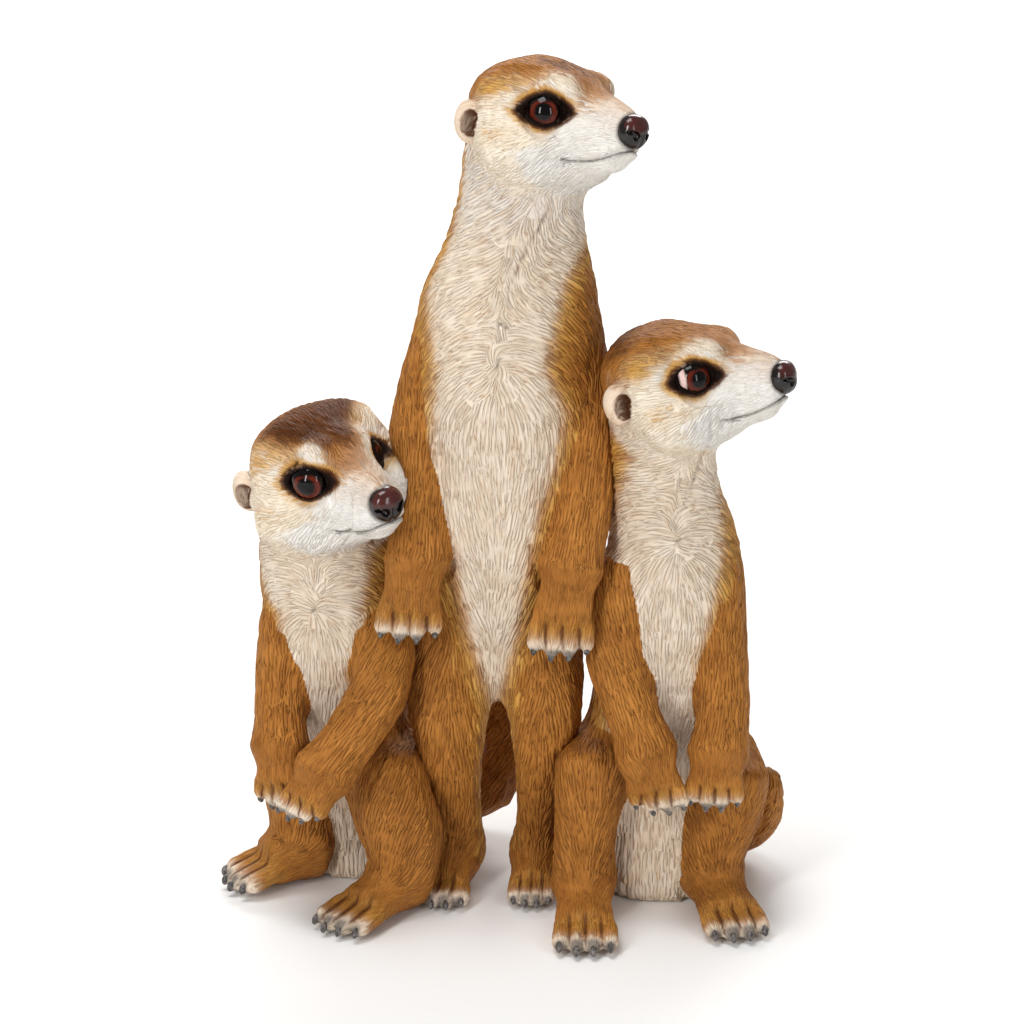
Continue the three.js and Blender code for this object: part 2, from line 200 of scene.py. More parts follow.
class Head:
    """The frame of one animal's head, found from its eyes and nose."""

    def __init__(self, animal):
        right = node_middle(f"{animal}_eye_right")
        left = node_middle(f"{animal}_eye_left")
        nose = node_middle(f"{animal}_nose")
        between = (right + left) / 2
        ahead = nose - between
        span = NOSE_AT - EYE_AT * (1, 0, 1)
        self.size = np.linalg.norm(ahead) / np.linalg.norm(span)
        ahead = ahead / np.linalg.norm(ahead)
        side = (left - right) / np.linalg.norm(left - right)
        dip = math.atan2(-span[2], span[0])
        above = np.cross(ahead, side)
        forward = math.cos(dip) * ahead + math.sin(dip) * above
        forward /= np.linalg.norm(forward)
        self.axes = np.array([forward, side, np.cross(forward, side)])
        self.origin = between - self.size * EYE_AT[0] * forward
        self.shift = LEFT_PUP_SHIFT if animal == "left_pup" else 0.0
        self.animal = animal
        eye, aside = EYES[animal]
        self.eye = np.array(eye)
        aside = math.radians(aside)
        self.look = np.array([math.cos(aside), math.sin(aside), 0])  # where the left eye faces
        self.corner = np.array([math.sin(aside), -math.cos(aside), 0])  # from its outer to its inner corner

    def into(self, points):
        """Points, or three arrays of coordinates, in the head's frame."""
        if isinstance(points, list):
            moved = [p - o for p, o in zip(points, self.origin)]
            return [sum(a * m for a, m in zip(axis, moved)) / self.size for axis in self.axes]
        return (points - self.origin) @ self.axes.T / self.size

    def out(self, place):
        return self.origin + self.size * np.asarray(place, float) @ self.axes

    def evenly(self, x, y):
        """How far points are to the left of the middle of the face, which is set over between the eyes."""
        return y - self.shift * ramp(22, 8, x) * ramp(-18, -8, x)


def eye_place(head, x, y, z):
    """A point of the head seen from the eye on its side: along the lids, outwards, up."""
    across = np.abs(head.evenly(x, y)) - head.eye[1]
    back = x - head.eye[0]
    along = head.corner[0] * back + head.corner[1] * across
    outward = head.look[0] * back + head.look[1] * across
    return along, outward, z - head.eye[2]


LID_LENGTH = 7.1  # half of the opening between the corners
LID_HEIGHT = 5.1  # half of its height
LID_RISE = 0.4  # how far its middle lies above the ball's
LID_LEAN = 0.5  # how far its middle lies towards the inner corner
LID_FLOOR = 2.4  # how far out from the ball's middle the floor of the corners is
LID_THICK = 0.75


def lid_opening(along, up):
    """Below zero between the lids."""
    up = up - LID_RISE
    across = np.clip(1 - ((along - LID_LEAN) / LID_LENGTH) ** 2, 0, 1)
    height = LID_HEIGHT * across ** 0.7
    return np.where(across > 0, np.abs(up) - height, np.abs(along - LID_LEAN) - LID_LENGTH + np.abs(up))


def mouth_line(x):
    """The height of the line between the lips, from the corner to the nose."""
    t = np.clip((x - 7.8) / 18.6, 0, 1)
    return -15.0 + 4.9 * t - 1.3 * np.sin(math.pi * t) + 0.7 * (1 - t) ** 6


# Forms melted into a face, each with its middle and its half sizes.
LIP_PAD = ((16.5, 4.0, -10.6), (8.2, 4.0, 4.2))
CHIN = ((14.5, 0, -15.4), (8, 5, 2.6))
BRIDGE = ((14, 0, -1.8), (14, 4.6, 7.2))
PRESSED_CHEEK = ((2, 14.5, -5.5), (8, 4.8, 8))  # the left pup's cheek on the adult's side
EAR_HOLLOW_AT = EAR_AT + (2.9, 2.6, -0.6)
TRAGUS_AT = EAR_AT + (5.2, 0.4, -1.8)
MOUTH_WIDTH = 0.55
MOUTH_DEPTH = 1.1


def model_face(head, values, place):
    """Lids, cheeks, lips, chin, mouth line and ears, worked into a head's field."""
    x, y, z = place
    side = np.abs(y)
    even = np.abs(head.evenly(x, y))
    values = melt(values, ellipsoid((x, side, z), *LIP_PAD), 2.6)
    values = melt(values, ellipsoid((x, y, z), *CHIN), 2.4)
    set_back = 1.8 if head.animal == "left_pup" else 0.0
    ridge = ellipsoid((x, even, z), head.eye + (2.6 - set_back, -3.4, 8.0), (8.0 - set_back, 5.4, 5.0))
    values = melt(values, ridge, 7.0)
    if head.animal == "left_pup":
        values = values + 2.4 * np.exp(-((x + 3) / 10) ** 2 - ((z - 17) / 6) ** 2 - ((y - 8) / 12) ** 2)
        values = melt(values, ellipsoid((x, y, z), *PRESSED_CHEEK), 3.5)
    values = melt(values, ellipsoid((x, even, z), *BRIDGE), 3.0)

    along, outward, up = eye_place(head, x, y, z)
    opening = lid_opening(along, up)
    ball = np.sqrt(np.maximum((EYE_RADIUS + 0.1) ** 2 - along ** 2 - up ** 2, LID_FLOOR ** 2))
    apart = np.maximum(opening, 0)
    skin = ball + LID_THICK + 0.6 * apart + 0.6 * np.maximum(apart - 1.0, 0) ** 2
    dished = -melt(-values, skin - outward, 1.6)
    values = np.where(outward > 0, dished, values)
    lid = np.sqrt((opening - 0.8) ** 2 + (outward - ball) ** 2) - LID_THICK
    values = melt(values, np.where(outward > 0, lid, 9.0), 2.0)
    socket = np.maximum(opening, np.maximum(ball - outward, outward - 12))
    values = np.maximum(values, -socket)

    line = (z - mouth_line(x)) / MOUTH_WIDTH
    length = ramp(7.0, 8.2, x) * ramp(29, 25, x)
    values = values + MOUTH_DEPTH * np.exp(-line ** 2) * length
    dimple = (side > 5) * np.exp(-((x - 8.0) / 0.9) ** 2 - ((z - mouth_line(x) + 0.6) / 1.5) ** 2)
    values = values + 0.7 * dimple

    ear = ellipsoid((x, side, z), EAR_AT, (5.0, 4.3, 7.0))
    hollow = ellipsoid((x, side, z), EAR_HOLLOW_AT, (2.6, 4.0, 4.1))
    tragus = ellipsoid((x, side, z), TRAGUS_AT, (2.0, 2.0, 3.4))
    values = melt(values, ear, 1.2)
    values = np.maximum(values, -hollow)
    return melt(values, tragus, 0.8)


# ---- skins -----------------------------------------------------------------------------------------------

def body_nodes(animal):
    paws = [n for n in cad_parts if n.startswith(animal) and ("_forepaw_" in n or "_foot_" in n)]
    rest = [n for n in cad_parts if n.startswith(animal)
            and any(word in n for word in ("_trunk", "_neck", "_arm_", "_leg_", "_tail"))]
    return sorted(rest), sorted(paws)


# The left pup's shoulder, where it is pressed to the adult: its middle and its half sizes.
SHOULDER = ((-47.0, -2.0, 122.0), (11.5, 12.0, 30.0))
SHOULDER_FILL = 6.0


def limb_of(paw):
    return paw.replace("_forepaw_", "_arm_").replace("_foot_", "_leg_")


THICK_PARTS = ("_trunk", "_neck", "_head")  # softened more than the limbs
THICK_BORDER = 2.5  # over how many coarse steps the one softening runs into the other


def softened_body(animal, parts, rest):
    """The melted and softened form of all of an animal's solids, and that of all but its head and paws."""
    low = np.min([p.low for p in parts.values()], axis=0) - 4
    high = np.max([p.low + p.values.shape for p in parts.values()], axis=0) + 4
    box = node_box([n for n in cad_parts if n.startswith(animal)])
    low = np.minimum(low, np.floor(box[0] / COARSE - 5).astype(int))
    high = np.maximum(high, np.ceil(box[1] / COARSE + 5).astype(int))
    union = np.full(tuple(high - low), REACH, np.float32)
    plain = union.copy()
    thick = np.zeros_like(union)
    for name, part in parts.items():
        start = part.low - low
        window = tuple(slice(s, s + n) for s, n in zip(start, part.values.shape))
        closer = part.values < union[window]
        thick[window] = np.where(closer, name.endswith(THICK_PARTS), thick[window])
        union[window] = np.minimum(union[window], part.values)
        if name in rest:
            plain[window] = np.minimum(plain[window], part.values)
    joints = [(f"{animal}_head", f"{animal}_neck", JAW_FILL)]
    joints += [(name, limb_of(name), WRIST_FILL) for name in parts if name in PAWS]
    joints += [(name, f"{animal}_trunk", HIP_FILL) for name in rest if "_leg_" in name]
    for name, other, width in joints:
        one, two = parts[name], parts[other]
        ours, theirs = overlap(one, two)
        start = np.maximum(one.low, two.low) - low
        filled = melt(one.values[ours], two.values[theirs], width)
        window = tuple(slice(s, s + n) for s, n in zip(start, filled.shape))
        union[window] = np.minimum(union[window], filled)
    if animal == "left_pup":
        axes = [(low[i] + np.arange(n)) * COARSE for i, n in enumerate(union.shape)]
        bulge = ellipsoid(np.meshgrid(*axes, indexing="ij", sparse=True), *SHOULDER).astype(np.float32)
        union, plain = melt(union, bulge, SHOULDER_FILL), melt(plain, bulge, SHOULDER_FILL)
    share = soften(thick, THICK_BORDER)
    softened = []
    for form in (union, plain):
        thick_form = soften(form, BODY_SOFTNESS / COARSE)
        thin_form = soften(form, LIMB_SOFTNESS / COARSE)
        softened.append(Field(low * 2, FINE, doubled(thick_form * share + thin_form * (1 - share) - SWELL)))
    return softened


def animal_field(animal, head):
    """One animal's whole form, from the tips of its toes to its ears, and the fields of its solids."""
    rest, paws = body_nodes(animal)
    parts = {name: solid_field(name, COARSE) for name in rest + paws + [f"{animal}_head"]}
    solids = {name: parts[name] for name in rest}
    whole, bare = softened_body(animal, parts, rest)

    tail = solid_field(f"{animal}_tail", FINE, 6)
    there, here = overlap(whole, tail)
    form = soften(tail.values, TAIL_SOFTNESS / FINE)[here] - SWELL
    whole.values[there] = np.minimum(whole.values[there], form)
    for name in paws:
        solids[name] = part = solid_field(name, FINE, 6)
        form = soften(part.values, PAW_SOFTNESS / FINE) - PAW_SWELL
        form += WRIST_FILL * ramp(FORM_EDGE, FORM_REACH, form)
        fine_form(whole, bare, Field(part.low, FINE, form), parts[limb_of(name)], WRIST_FILL)

    for name in SOLIDS:
        if name.startswith(f"{animal}_ear_"):
            solids[name] = solid_field(name, FINE, 4)
    solids[f"{animal}_head"] = part = solid_field(f"{animal}_head", FINE, 10)
    form = Field(part.low, FINE, soften(part.values, HEAD_SOFTNESS / FINE) - HEAD_SWELL)
    box = node_box([f"{animal}_head"])
    values, grid = form.part(box[0] - 8, box[1] + 8)
    values[...] = model_face(head, values, head.into(grid))
    fine_form(whole, bare, form, parts[f"{animal}_neck"], JAW_FILL)

    heights = whole.axes()[2].astype(np.float32)
    whole.values = np.maximum(whole.values, -heights)
    return whole, solids


def overlap(a, b):
    """The slices of two fields on the same grid where they overlap."""
    start = np.maximum(a.low, b.low)
    stop = np.minimum(a.low + a.values.shape, b.low + b.values.shape)
    return [tuple(slice(p, q) for p, q in zip(start - f.low, stop - f.low)) for f in (a, b)]


def fine_form(whole, bare, form, neighbour, fill):
    """Puts a finely modelled form in the softened body, melted to its neighbour and running into it.

    Nothing is cut out of bare, which takes in each form in its turn.
    """
    share = Field(form.low, FINE, np.ones_like(form.values))
    guard = doubled(neighbour.values)
    softer = doubled(soften(neighbour.values, LIMB_SOFTNESS / COARSE) - SWELL)
    ours, theirs = overlap(share, Field(neighbour.low * 2, FINE, guard))
    share.values[ours] = ramp(-0.5, JOINT_WIDTH, guard[theirs])
    form.values[ours] = melt(form.values[ours], softer[theirs], fill)
    there, here = overlap(whole, form)
    share = share.values[here] * ramp(FORM_REACH, FORM_EDGE, form.values[here])
    mixed = whole.values[there] + (form.values[here] - whole.values[there]) * share
    bare.values[there] = np.minimum(bare.values[there], form.values[here])
    whole.values[there] = np.minimum(mixed, bare.values[there])


def node_box(names):
    points = np.concatenate([SOLIDS[name][0] for name in names])
    return points.min(0), points.max(0)


def surface(field):
    """The field's surface: points in mm and quads."""
    edge = 3 * field.step
    grid = openvdb.FloatGrid(edge)
    values = np.ascontiguousarray(np.clip(field.values, -edge, edge))
    grid.copyFromArray(values, ijk=tuple(int(v) for v in field.low))
    points, quads = grid.convertToQuads(0.0)
    return points.astype(np.float64) * field.step, quads.astype(np.int64)


def normals_of(points, quads):
    a, b, c, d = (points[quads[:, i]] for i in range(4))
    face = np.cross(c - a, d - b)
    total = np.zeros_like(points)
    for i in range(4):
        for axis in range(3):
            total[:, axis] += np.bincount(quads[:, i], face[:, axis], len(points))
    return total / (np.linalg.norm(total, axis=1, keepdims=True) + 1e-12)


def make_mesh(name, points, quads, marks):
    """A smooth-shaded object from points in mm, with named values at its points."""
    mesh = bpy.data.meshes.new(name)
    mesh.vertices.add(len(points))
    mesh.vertices.foreach_set("co", (points * MM).astype(np.float32).ravel())
    mesh.loops.add(quads.size)
    mesh.loops.foreach_set("vertex_index", quads.astype(np.int32).ravel())
    mesh.polygons.add(len(quads))
    mesh.polygons.foreach_set("loop_start", np.arange(0, quads.size, 4, dtype=np.int32))
    mesh.polygons.foreach_set("use_smooth", np.ones(len(quads), bool))
    mesh.update(calc_edges=True)
    for key, values in marks.items():
        kind, field = ("FLOAT", "value") if values.ndim == 1 else ("FLOAT_VECTOR", "vector")
        mesh.attributes.new(key, kind, "POINT").data.foreach_set(field, values.astype(np.float32).ravel())
    piece = bpy.data.objects.new(name, mesh)
    bpy.context.collection.objects.link(piece)
    return piece


# ---- pieces ----------------------------------------------------------------------------------------------

# Each coat piece: the finish it has in the record, and the words that name its solids.
COAT_PIECES = {
    "face": ("face_paint", ("_head",)),
    "ears": ("ear_paint", ("_ear_",)),
    "neck": ("bib_paint", ("_neck",)),
    "trunk": ("bib_paint", ("_trunk",)),
    "limbs": ("coat_paint", ("_arm_", "_leg_")),
    "tail": ("coat_paint", ("_tail",)),
    "paws": ("paw_paint", ("_forepaw_", "_foot_")),
}

CHART_GAP = 1.5  # between the pieces of an unfolded skin, in mm of the skin
CHART_GROWTH = 1.03


def nearest_solid(points, solids):
    """The number of the solid that each point lies closest to."""
    best = np.full(len(points), 1e3, np.float32)
    which = np.zeros(len(points), int)
    for number, part in enumerate(solids.values()):
        low = part.low * part.step
        high = low + (np.array(part.values.shape) - 1) * part.step
        inside = np.all((points > low) & (points < high), axis=1).nonzero()[0]
        distance = part.at(points[inside])
        closer = distance < best[inside]
        best[inside[closer]] = distance[closer]
        which[inside[closer]] = number
    return which


def charts(points, normals, quads, which):
    """The skin unfolded for baking: the place on the map of each face's corners.

    The faces are pressed flat along the axis they face, solid by solid, and laid side by side.
    """
    facing = normals[quads].mean(1)
    axis = np.abs(facing).argmax(1)
    toward = np.take_along_axis(facing, axis[:, None], 1)[:, 0] > 0
    chart = which[quads[:, 0]] * 6 + axis * 2 + toward
    flat = np.zeros((len(quads), 4, 2))
    sizes = {}
    for number in np.unique(chart):
        faces = chart == number
        across, up = ((1, 2), (0, 2), (0, 1))[number % 6 // 2]
        corners = points[quads[faces]][..., (across, up)]
        corners = corners - corners.min((0, 1))
        flat[faces] = corners
        sizes[number] = corners.max((0, 1)) + CHART_GAP
    tallest = sorted(sizes, key=lambda n: -sizes[n][1])
    side = math.sqrt(sum(w * h for w, h in sizes.values()))
    while True:  # rows of charts, the tallest first, on a square that grows until they fit
        at, row, level = {}, 0.0, 0.0
        x = 0.0
        for number in tallest:
            wide, tall = sizes[number]
            if x + wide > side:
                x, level = 0.0, level + row
            if x == 0:
                row = tall
            at[number] = (x + CHART_GAP / 2, level + CHART_GAP / 2)
            x += wide
        if level + row <= side and max(w for w, _ in sizes.values()) <= side:
            break
        side *= CHART_GROWTH
    places = np.array([at.get(n, (0, 0)) for n in range(chart.max() + 1)])
    return (flat + places[chart][:, None]) / side


def coat_pieces(animal, points, quads, normals, which, solids, marks, material):
    """Cuts the skin into its pieces, which share their shading along the cuts."""
    names = list(solids)
    for kind, (slot, words) in COAT_PIECES.items():
        numbers = [i for i, name in enumerate(names) if any(word in name for word in words)]
        faces = np.isin(which[quads[:, 0]], numbers)
        if not faces.any():
            continue
        used, new = np.unique(quads[faces], return_inverse=True)
        new = new.reshape(-1, 4)
        piece = make_mesh(f"{animal}_{kind}_coat", points[used], new,
                          {key: values[used] for key, values in marks.items()})
        unfolded = piece.data.uv_layers.new(name="OFBake")
        unfolded.uv.foreach_set("vector", charts(points[used], normals[used], new, which[used])
                                .astype(np.float32).ravel())
        piece.data.normals_split_custom_set_from_vertices(normals[used].astype(np.float32))
        piece.data.materials.append(material)
        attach(piece, "root")
        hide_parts(*[names[i] for i in numbers])


# ---- carved fur ------------------------------------------------------------------------------------------

# Each paw: its wrist, its knuckles and the tips of its middle toes, half its width, and a toe's radius.
PAWS = {
    "adult_forepaw_right": ((-28.1, -25.1, 126), (-30.6, -31.1, 112), (-31.6, -34.1, 100.5), 11, 3.3),
    "adult_forepaw_left": ((23.9, -26.1, 124), (20.9, -32.1, 108), (19.9, -35.1, 94.5), 10.8, 3.3),
    "adult_foot_right": ((-16.1, 1.9, 9), (-20.6, -15.1, 5.5), (-21.8, -30.6, 2.6), 9.8, 3.4),
    "adult_foot_left": ((11.9, 1.9, 9), (10.9, -14.1, 5.5), (10.4, -29.6, 2.6), 8, 3),
    "right_pup_forepaw_right": ((49.9, -39.1, 62), (52.9, -43.1, 52), (54.9, -45.6, 43), 9.8, 3),
    "right_pup_forepaw_left": ((74.4, -38.1, 62), (72.9, -42.1, 53), (72.4, -44.6, 44), 9.6, 3),
    "right_pup_foot_right": ((28.9, -26.1, 9), (28.9, -52.1, 6), (28.4, -70.6, 2.6), 10.8, 3.6),
    "right_pup_foot_left": ((72.9, -18.1, 9), (78.9, -42.1, 6), (82.5, -58.6, 2.6), 11, 3.6),
    "left_pup_forepaw_right": ((-75.6, -27.1, 60), (-76.6, -32.1, 50), (-76.1, -35.1, 40.5), 8.6, 2.8),
    "left_pup_forepaw_left": ((-61.1, -40.1, 56), (-66.1, -43.1, 48), (-70.1, -45.6, 41), 9.6, 3),
    "left_pup_foot_right": ((-66.1, 2.9, 11), (-82.1, -3.6, 8.5), (-97.6, -12.1, 3), 11.4, 3.9),
    "left_pup_foot_left": ((-33.1, -22.1, 9), (-47.6, -37.1, 6.5), (-59.1, -52.1, 2.6), 11.2, 3.5),
}
# Where each chest points, in degrees from -Y towards +X.
FACING = {"adult": 0, "right_pup": -4, "left_pup": -30}
TOES = 4
TOE_SPREAD = 1.1


class Paw:
    """Where one paw points, and where its toes are."""

    def __init__(self, name):
        wrist, knuckles, tips, self.wide, self.toe = PAWS[name]
        self.wrist, self.knuckles, self.tips = (np.array(p, float) for p in (wrist, knuckles, tips))
        self.along = (self.tips - self.knuckles) / np.linalg.norm(self.tips - self.knuckles)
        self.reach = self.tips - self.wrist
        level = np.array([-self.reach[1], self.reach[0], 0])
        if np.linalg.norm(level) < 0.75 * np.linalg.norm(self.reach):
            facing = math.radians(next(FACING[animal] for animal in ANIMALS if name.startswith(animal)))
            level = np.array([math.cos(facing), math.sin(facing), 0])
        self.across = level / np.linalg.norm(level)
        self.back = np.cross(self.across, self.along)
        self.back *= np.sign(self.back @ (0, -1, 1))

    def toe_tip(self, number):
        """The middle of a toe's rounded end."""
        slot = 2 * number / (TOES - 1) - 1
        shift = slot * (self.wide - self.toe * 0.8) * TOE_SPREAD
        tip = self.tips + self.across * shift
        return tip - self.along * self.toe * (0.7 if abs(slot) > 0.9 else 0)

    def place(self, points):
        """Along the toes from the knuckles (0) to the tips (1), across in toe gaps, and up off the sole."""
        offset = points - self.knuckles
        reach = np.linalg.norm(self.tips - self.knuckles)
        along = offset @ self.along / reach
        gap = 2 / (TOES - 1) * (self.wide - self.toe * 0.8)
        across = offset @ self.across / (gap * (1 + (TOE_SPREAD - 1) * np.clip(along, 0, 1)))
        return along, across, offset @ self.back


# Each chest's whorl, the height where its neck begins, and by height its middle and the edges of its bib.
CHESTS = {
    "adult": {
        "whorl": (-0.7, -36.1, 190),
        "top": 199,
        "middle": ((260, 18), (247, 16.4), (234, 8.9), (221, 3), (199, -0.7), (158, 0), (107, -1.8), (0, -2)),
        "bib": ((320, -60, 60), (250, -40, 40), (237, -30, 30), (221, -25, 21), (206, -23, 17.5),
                (193, -21.5, 15), (178, -22.5, 21), (160, -23, 18), (145, -20.5, 12.7), (128, -15.5, 9),
                (100, -10.5, 5), (77, -4, 0), (68, -2, -2), (60, -2, -2)),
    },
    "right_pup": {
        "whorl": (59.2, -33.5, 130.2),
        "top": 130.2,
        "middle": ((175, 70), (160, 66.6), (145, 61.6), (130, 59.2), (100, 59.3), (70, 57.5), (40, 54),
                   (0, 53.5)),
        "bib": ((230, -20, 130), (165, 44, 90), (150, 40.5, 74.5), (130, 38, 75), (112, 37, 72),
                (100, 38.4, 69), (90, 42, 66), (76, 40, 68.5), (50, 36.5, 70), (5, 35.5, 70)),
    },
    "left_pup": {
        "whorl": (-64.1, -24.9, 106),
        "top": 106,
        "middle": ((140, -50), (128, -55.5), (118, -61), (106, -64), (85, -67), (60, -60), (30, -58),
                   (0, -57.5)),
        "bib": ((200, -130, 0), (140, -100, -38), (125, -88, -45), (110, -80, -47), (104, -75.5, -47),
                (93, -76, -49.5), (85, -76, -54), (70, -75, -50), (51, -70, -46), (25, -68, -48),
                (0, -67, -50)),
    },
}


def between(rows, column, z):
    rows = np.array(sorted(rows), float)
    return np.interp(z, rows[:, 0], rows[:, column])


def unit(vectors):
    return vectors / (np.linalg.norm(vectors, axis=-1, keepdims=True) + 1e-9)


def flow_on_chest(animal, points):
    """Down the body, round the whorl, away from the throat's parting and in to the middle of the belly."""
    chest = CHESTS[animal]
    z = points[:, 2]
    side = points[:, 0] - between(chest["middle"], 1, z)
    front = ramp(12, -8, points[:, 1])
    flow = np.zeros_like(points)
    flow[:, 2] = -1
    offset = points - chest["whorl"]
    flow += 26 * offset / (np.linalg.norm(offset, axis=1, keepdims=True) ** 2 + 30) * front[:, None]
    top = chest["top"]
    belly = ramp(top - 12, top - 35, z) * (ramp(35, 60, z) if animal != "adult" else 1)
    throat = ramp(top + 14, top + 30, z)
    parting = np.tanh(side / 5)
    flow[:, 0] += front * parting * (0.75 * throat * ramp(3, 8, np.abs(side)) - 0.55 * belly)
    flow[:, 0] -= front * parting * throat * 0.5 * ramp(6, 2, np.abs(side))
    flow[:, 1] += 0.6 * throat * ramp(8, 20, np.abs(side))
    return flow


def flow_on_head(head, points):
    """Back over the head, away from each eye and down over the cheeks."""
    place = head.into(points)
    flow = np.tile((-1.0, 0, -0.12), (len(points), 1))
    place[:, 1] = head.evenly(place[:, 0], place[:, 1])
    side = np.sign(place[:, 1])
    eye = head.eye * np.stack([np.ones_like(side), side, np.ones_like(side)], axis=1)
    offset = place - eye
    reach = np.linalg.norm(offset, axis=1)
    near = np.exp(-np.maximum(reach - 7, 0) / 6) * ramp(22, 6, reach)
    flow += 1.9 * near[:, None] * offset / (reach[:, None] + 1e-6)
    flow[:, 2] -= 0.5 * ramp(-4, -14, place[:, 2]) * ramp(14, 2, place[:, 0])
    flow[:, 2] -= 1.2 * ramp(-20, -30, place[:, 0])
    return flow @ head.axes


def flow_of(animal, head, name, points):
    if name.endswith("_head") or "_ear_" in name:
        return flow_on_head(head, points)
    if name in PAWS:
        paw = Paw(name)
        return np.tile(paw.reach, (len(points), 1))
    if "_arm_" in name or "_leg_" in name:
        paw = Paw(name.replace("_arm_", "_forepaw_").replace("_leg_", "_foot_"))
        toward = unit(paw.wrist + (paw.knuckles - paw.wrist) * 0.4 - points)
        if "_leg_" in name and animal != "adult":
            forward = unit(paw.reach * (1, 1, 0)) + (0, 0, -0.9)
            toward += 1.6 * forward * ramp(22, 36, points[:, 2:3])
        elif "_leg_" in name:
            toward += (0, 0.5, -0.4) * ramp(25, 55, points[:, 2:3])
        return toward
    if name.endswith("_tail"):
        return flow_on_tail(name, points)
    return flow_on_chest(animal, points)


def flow_on_tail(name, points):
    """Along the tail, away from the end that joins the body."""
    solid = SOLIDS[name][0]
    body = node_middle(name.replace("_tail", "_trunk"))
    root = solid[np.argmin(np.linalg.norm(solid - body, axis=1))]
    reach = np.linalg.norm(solid - root, axis=1)
    middle = node_middle(name)
    tip = solid[np.argmax(reach)]
    t = np.clip(np.linalg.norm(points - root, axis=1) / reach.max(), 0, 1)[:, None]
    return unit(unit(middle - root) * (1 - t) + unit(tip - middle) * t + (0, 0, -0.25))


# The length and width of the chisel strokes, and how deep they are cut.
STROKES = {
    "head": (5.6, 0.95, 0.3),
    "ear": (3.0, 0.9, 0.06),
    "neck": (12.0, 1.15, 0.42),
    "trunk": (12.0, 1.15, 0.42),
    "arm": (10.5, 1.15, 0.4),
    "leg": (10.5, 1.15, 0.4),
    "tail": (10.0, 1.3, 0.42),
    "forepaw": (6.5, 0.9, 0.22),
    "foot": (6.5, 0.9, 0.22),
}
COMBINGS = 4  # how many sets of patches overlap everywhere
PATCH = 11.0  # about how wide one patch is
LOCK = 3.2  # how many strokes lie side by side in a lock that stands up from the form
BLENDING = 8  # how many times the flow and the sizes are evened out from one solid to the next


def strokes_at(animal, head, name, points):
    """The size of a stroke at each point: length, width and height."""
    kind = next(kind for kind in STROKES if f"_{kind}" in name)
    size = np.tile(STROKES[kind], (len(points), 1))
    place = head.into(points)
    if kind == "head":
        muzzle = ramp(4, 14, place[:, 0])[:, None]
        size *= 1 - muzzle * (0.3, 0.22, 0.4)
        along, outward, up = eye_place(head, *place.T)
        lids = ramp(1.5, 1.0, np.hypot(along / 8.5, up / 6.2)) * (outward > -2)
        size[:, 2] *= 1 - 0.75 * lids
        size[:, 2] *= ramp(29, 22, place[:, 0]) * 0.7 + 0.3
    elif kind in ("neck", "trunk"):
        near = ramp(44, 24, np.linalg.norm(place, axis=1))[:, None]
        size *= 1 - near * (0.35, 0.3, 0.35)
        if kind == "trunk" and animal != "adult":
            belly = ramp(66, 50, points[:, 2])[:, None]
            size *= 1 + belly * (0.2, 0.25, 0.2)
    elif name in PAWS:
        along = Paw(name).place(points)[0]
        size[:, 2] *= 1 - 0.7 * ramp(0.55, 0.95, along)
    return size


def evened(values, quads, count, share=0.5):
    """Each value moved part of the way to the mean of its neighbours."""
    if values.ndim > 1:
        return np.stack([evened(column, quads, count, share) for column in values.T], axis=1)
    total = np.zeros(count)
    number = np.zeros(count)
    for i in range(4):
        a, b = quads[:, i], quads[:, (i + 1) % 4]
        total += np.bincount(a, values[b], count) + np.bincount(b, values[a], count)
        number += np.bincount(a, minlength=count) + np.bincount(b, minlength=count)
    return values * (1 - share) + share * total / np.maximum(number, 1)


def patches(points, normals, rng):
    """For each point the patch it is in, as the number of the point in its middle, and how far inside it is.

    The patches are cells round points that are picked at random, one in each box of a grid.
    """
    cells = ((points - points.min(0) + rng.uniform(0, PATCH, 3)) / PATCH).astype(np.int64) + 2
    step = np.array([1, 1000, 1000000])
    keys = cells @ step
    mixed = rng.permutation(len(points))
    boxes, first = np.unique(keys[mixed], return_index=True)
    middles = mixed[first]
    nearest = np.full(len(points), 1e3)
    second = nearest.copy()
    owner = np.zeros(len(points), int)
    for offset in np.ndindex(3, 3, 3):
        key = keys + (np.array(offset) - 1) @ step
        found = np.minimum(np.searchsorted(boxes, key), len(boxes) - 1)
        middle = middles[found]
        away = np.linalg.norm(points - points[middle], axis=1)
        away += PATCH * (1 - (normals * normals[middle]).sum(1))
        away[boxes[found] != key] = 1e3
        closer = away < nearest
        second = np.where(closer, nearest, np.minimum(second, away))
        owner[closer] = middle[closer]
        nearest[closer] = away[closer]
    return owner, np.clip((second - nearest - 1) / 4, 0, 1)


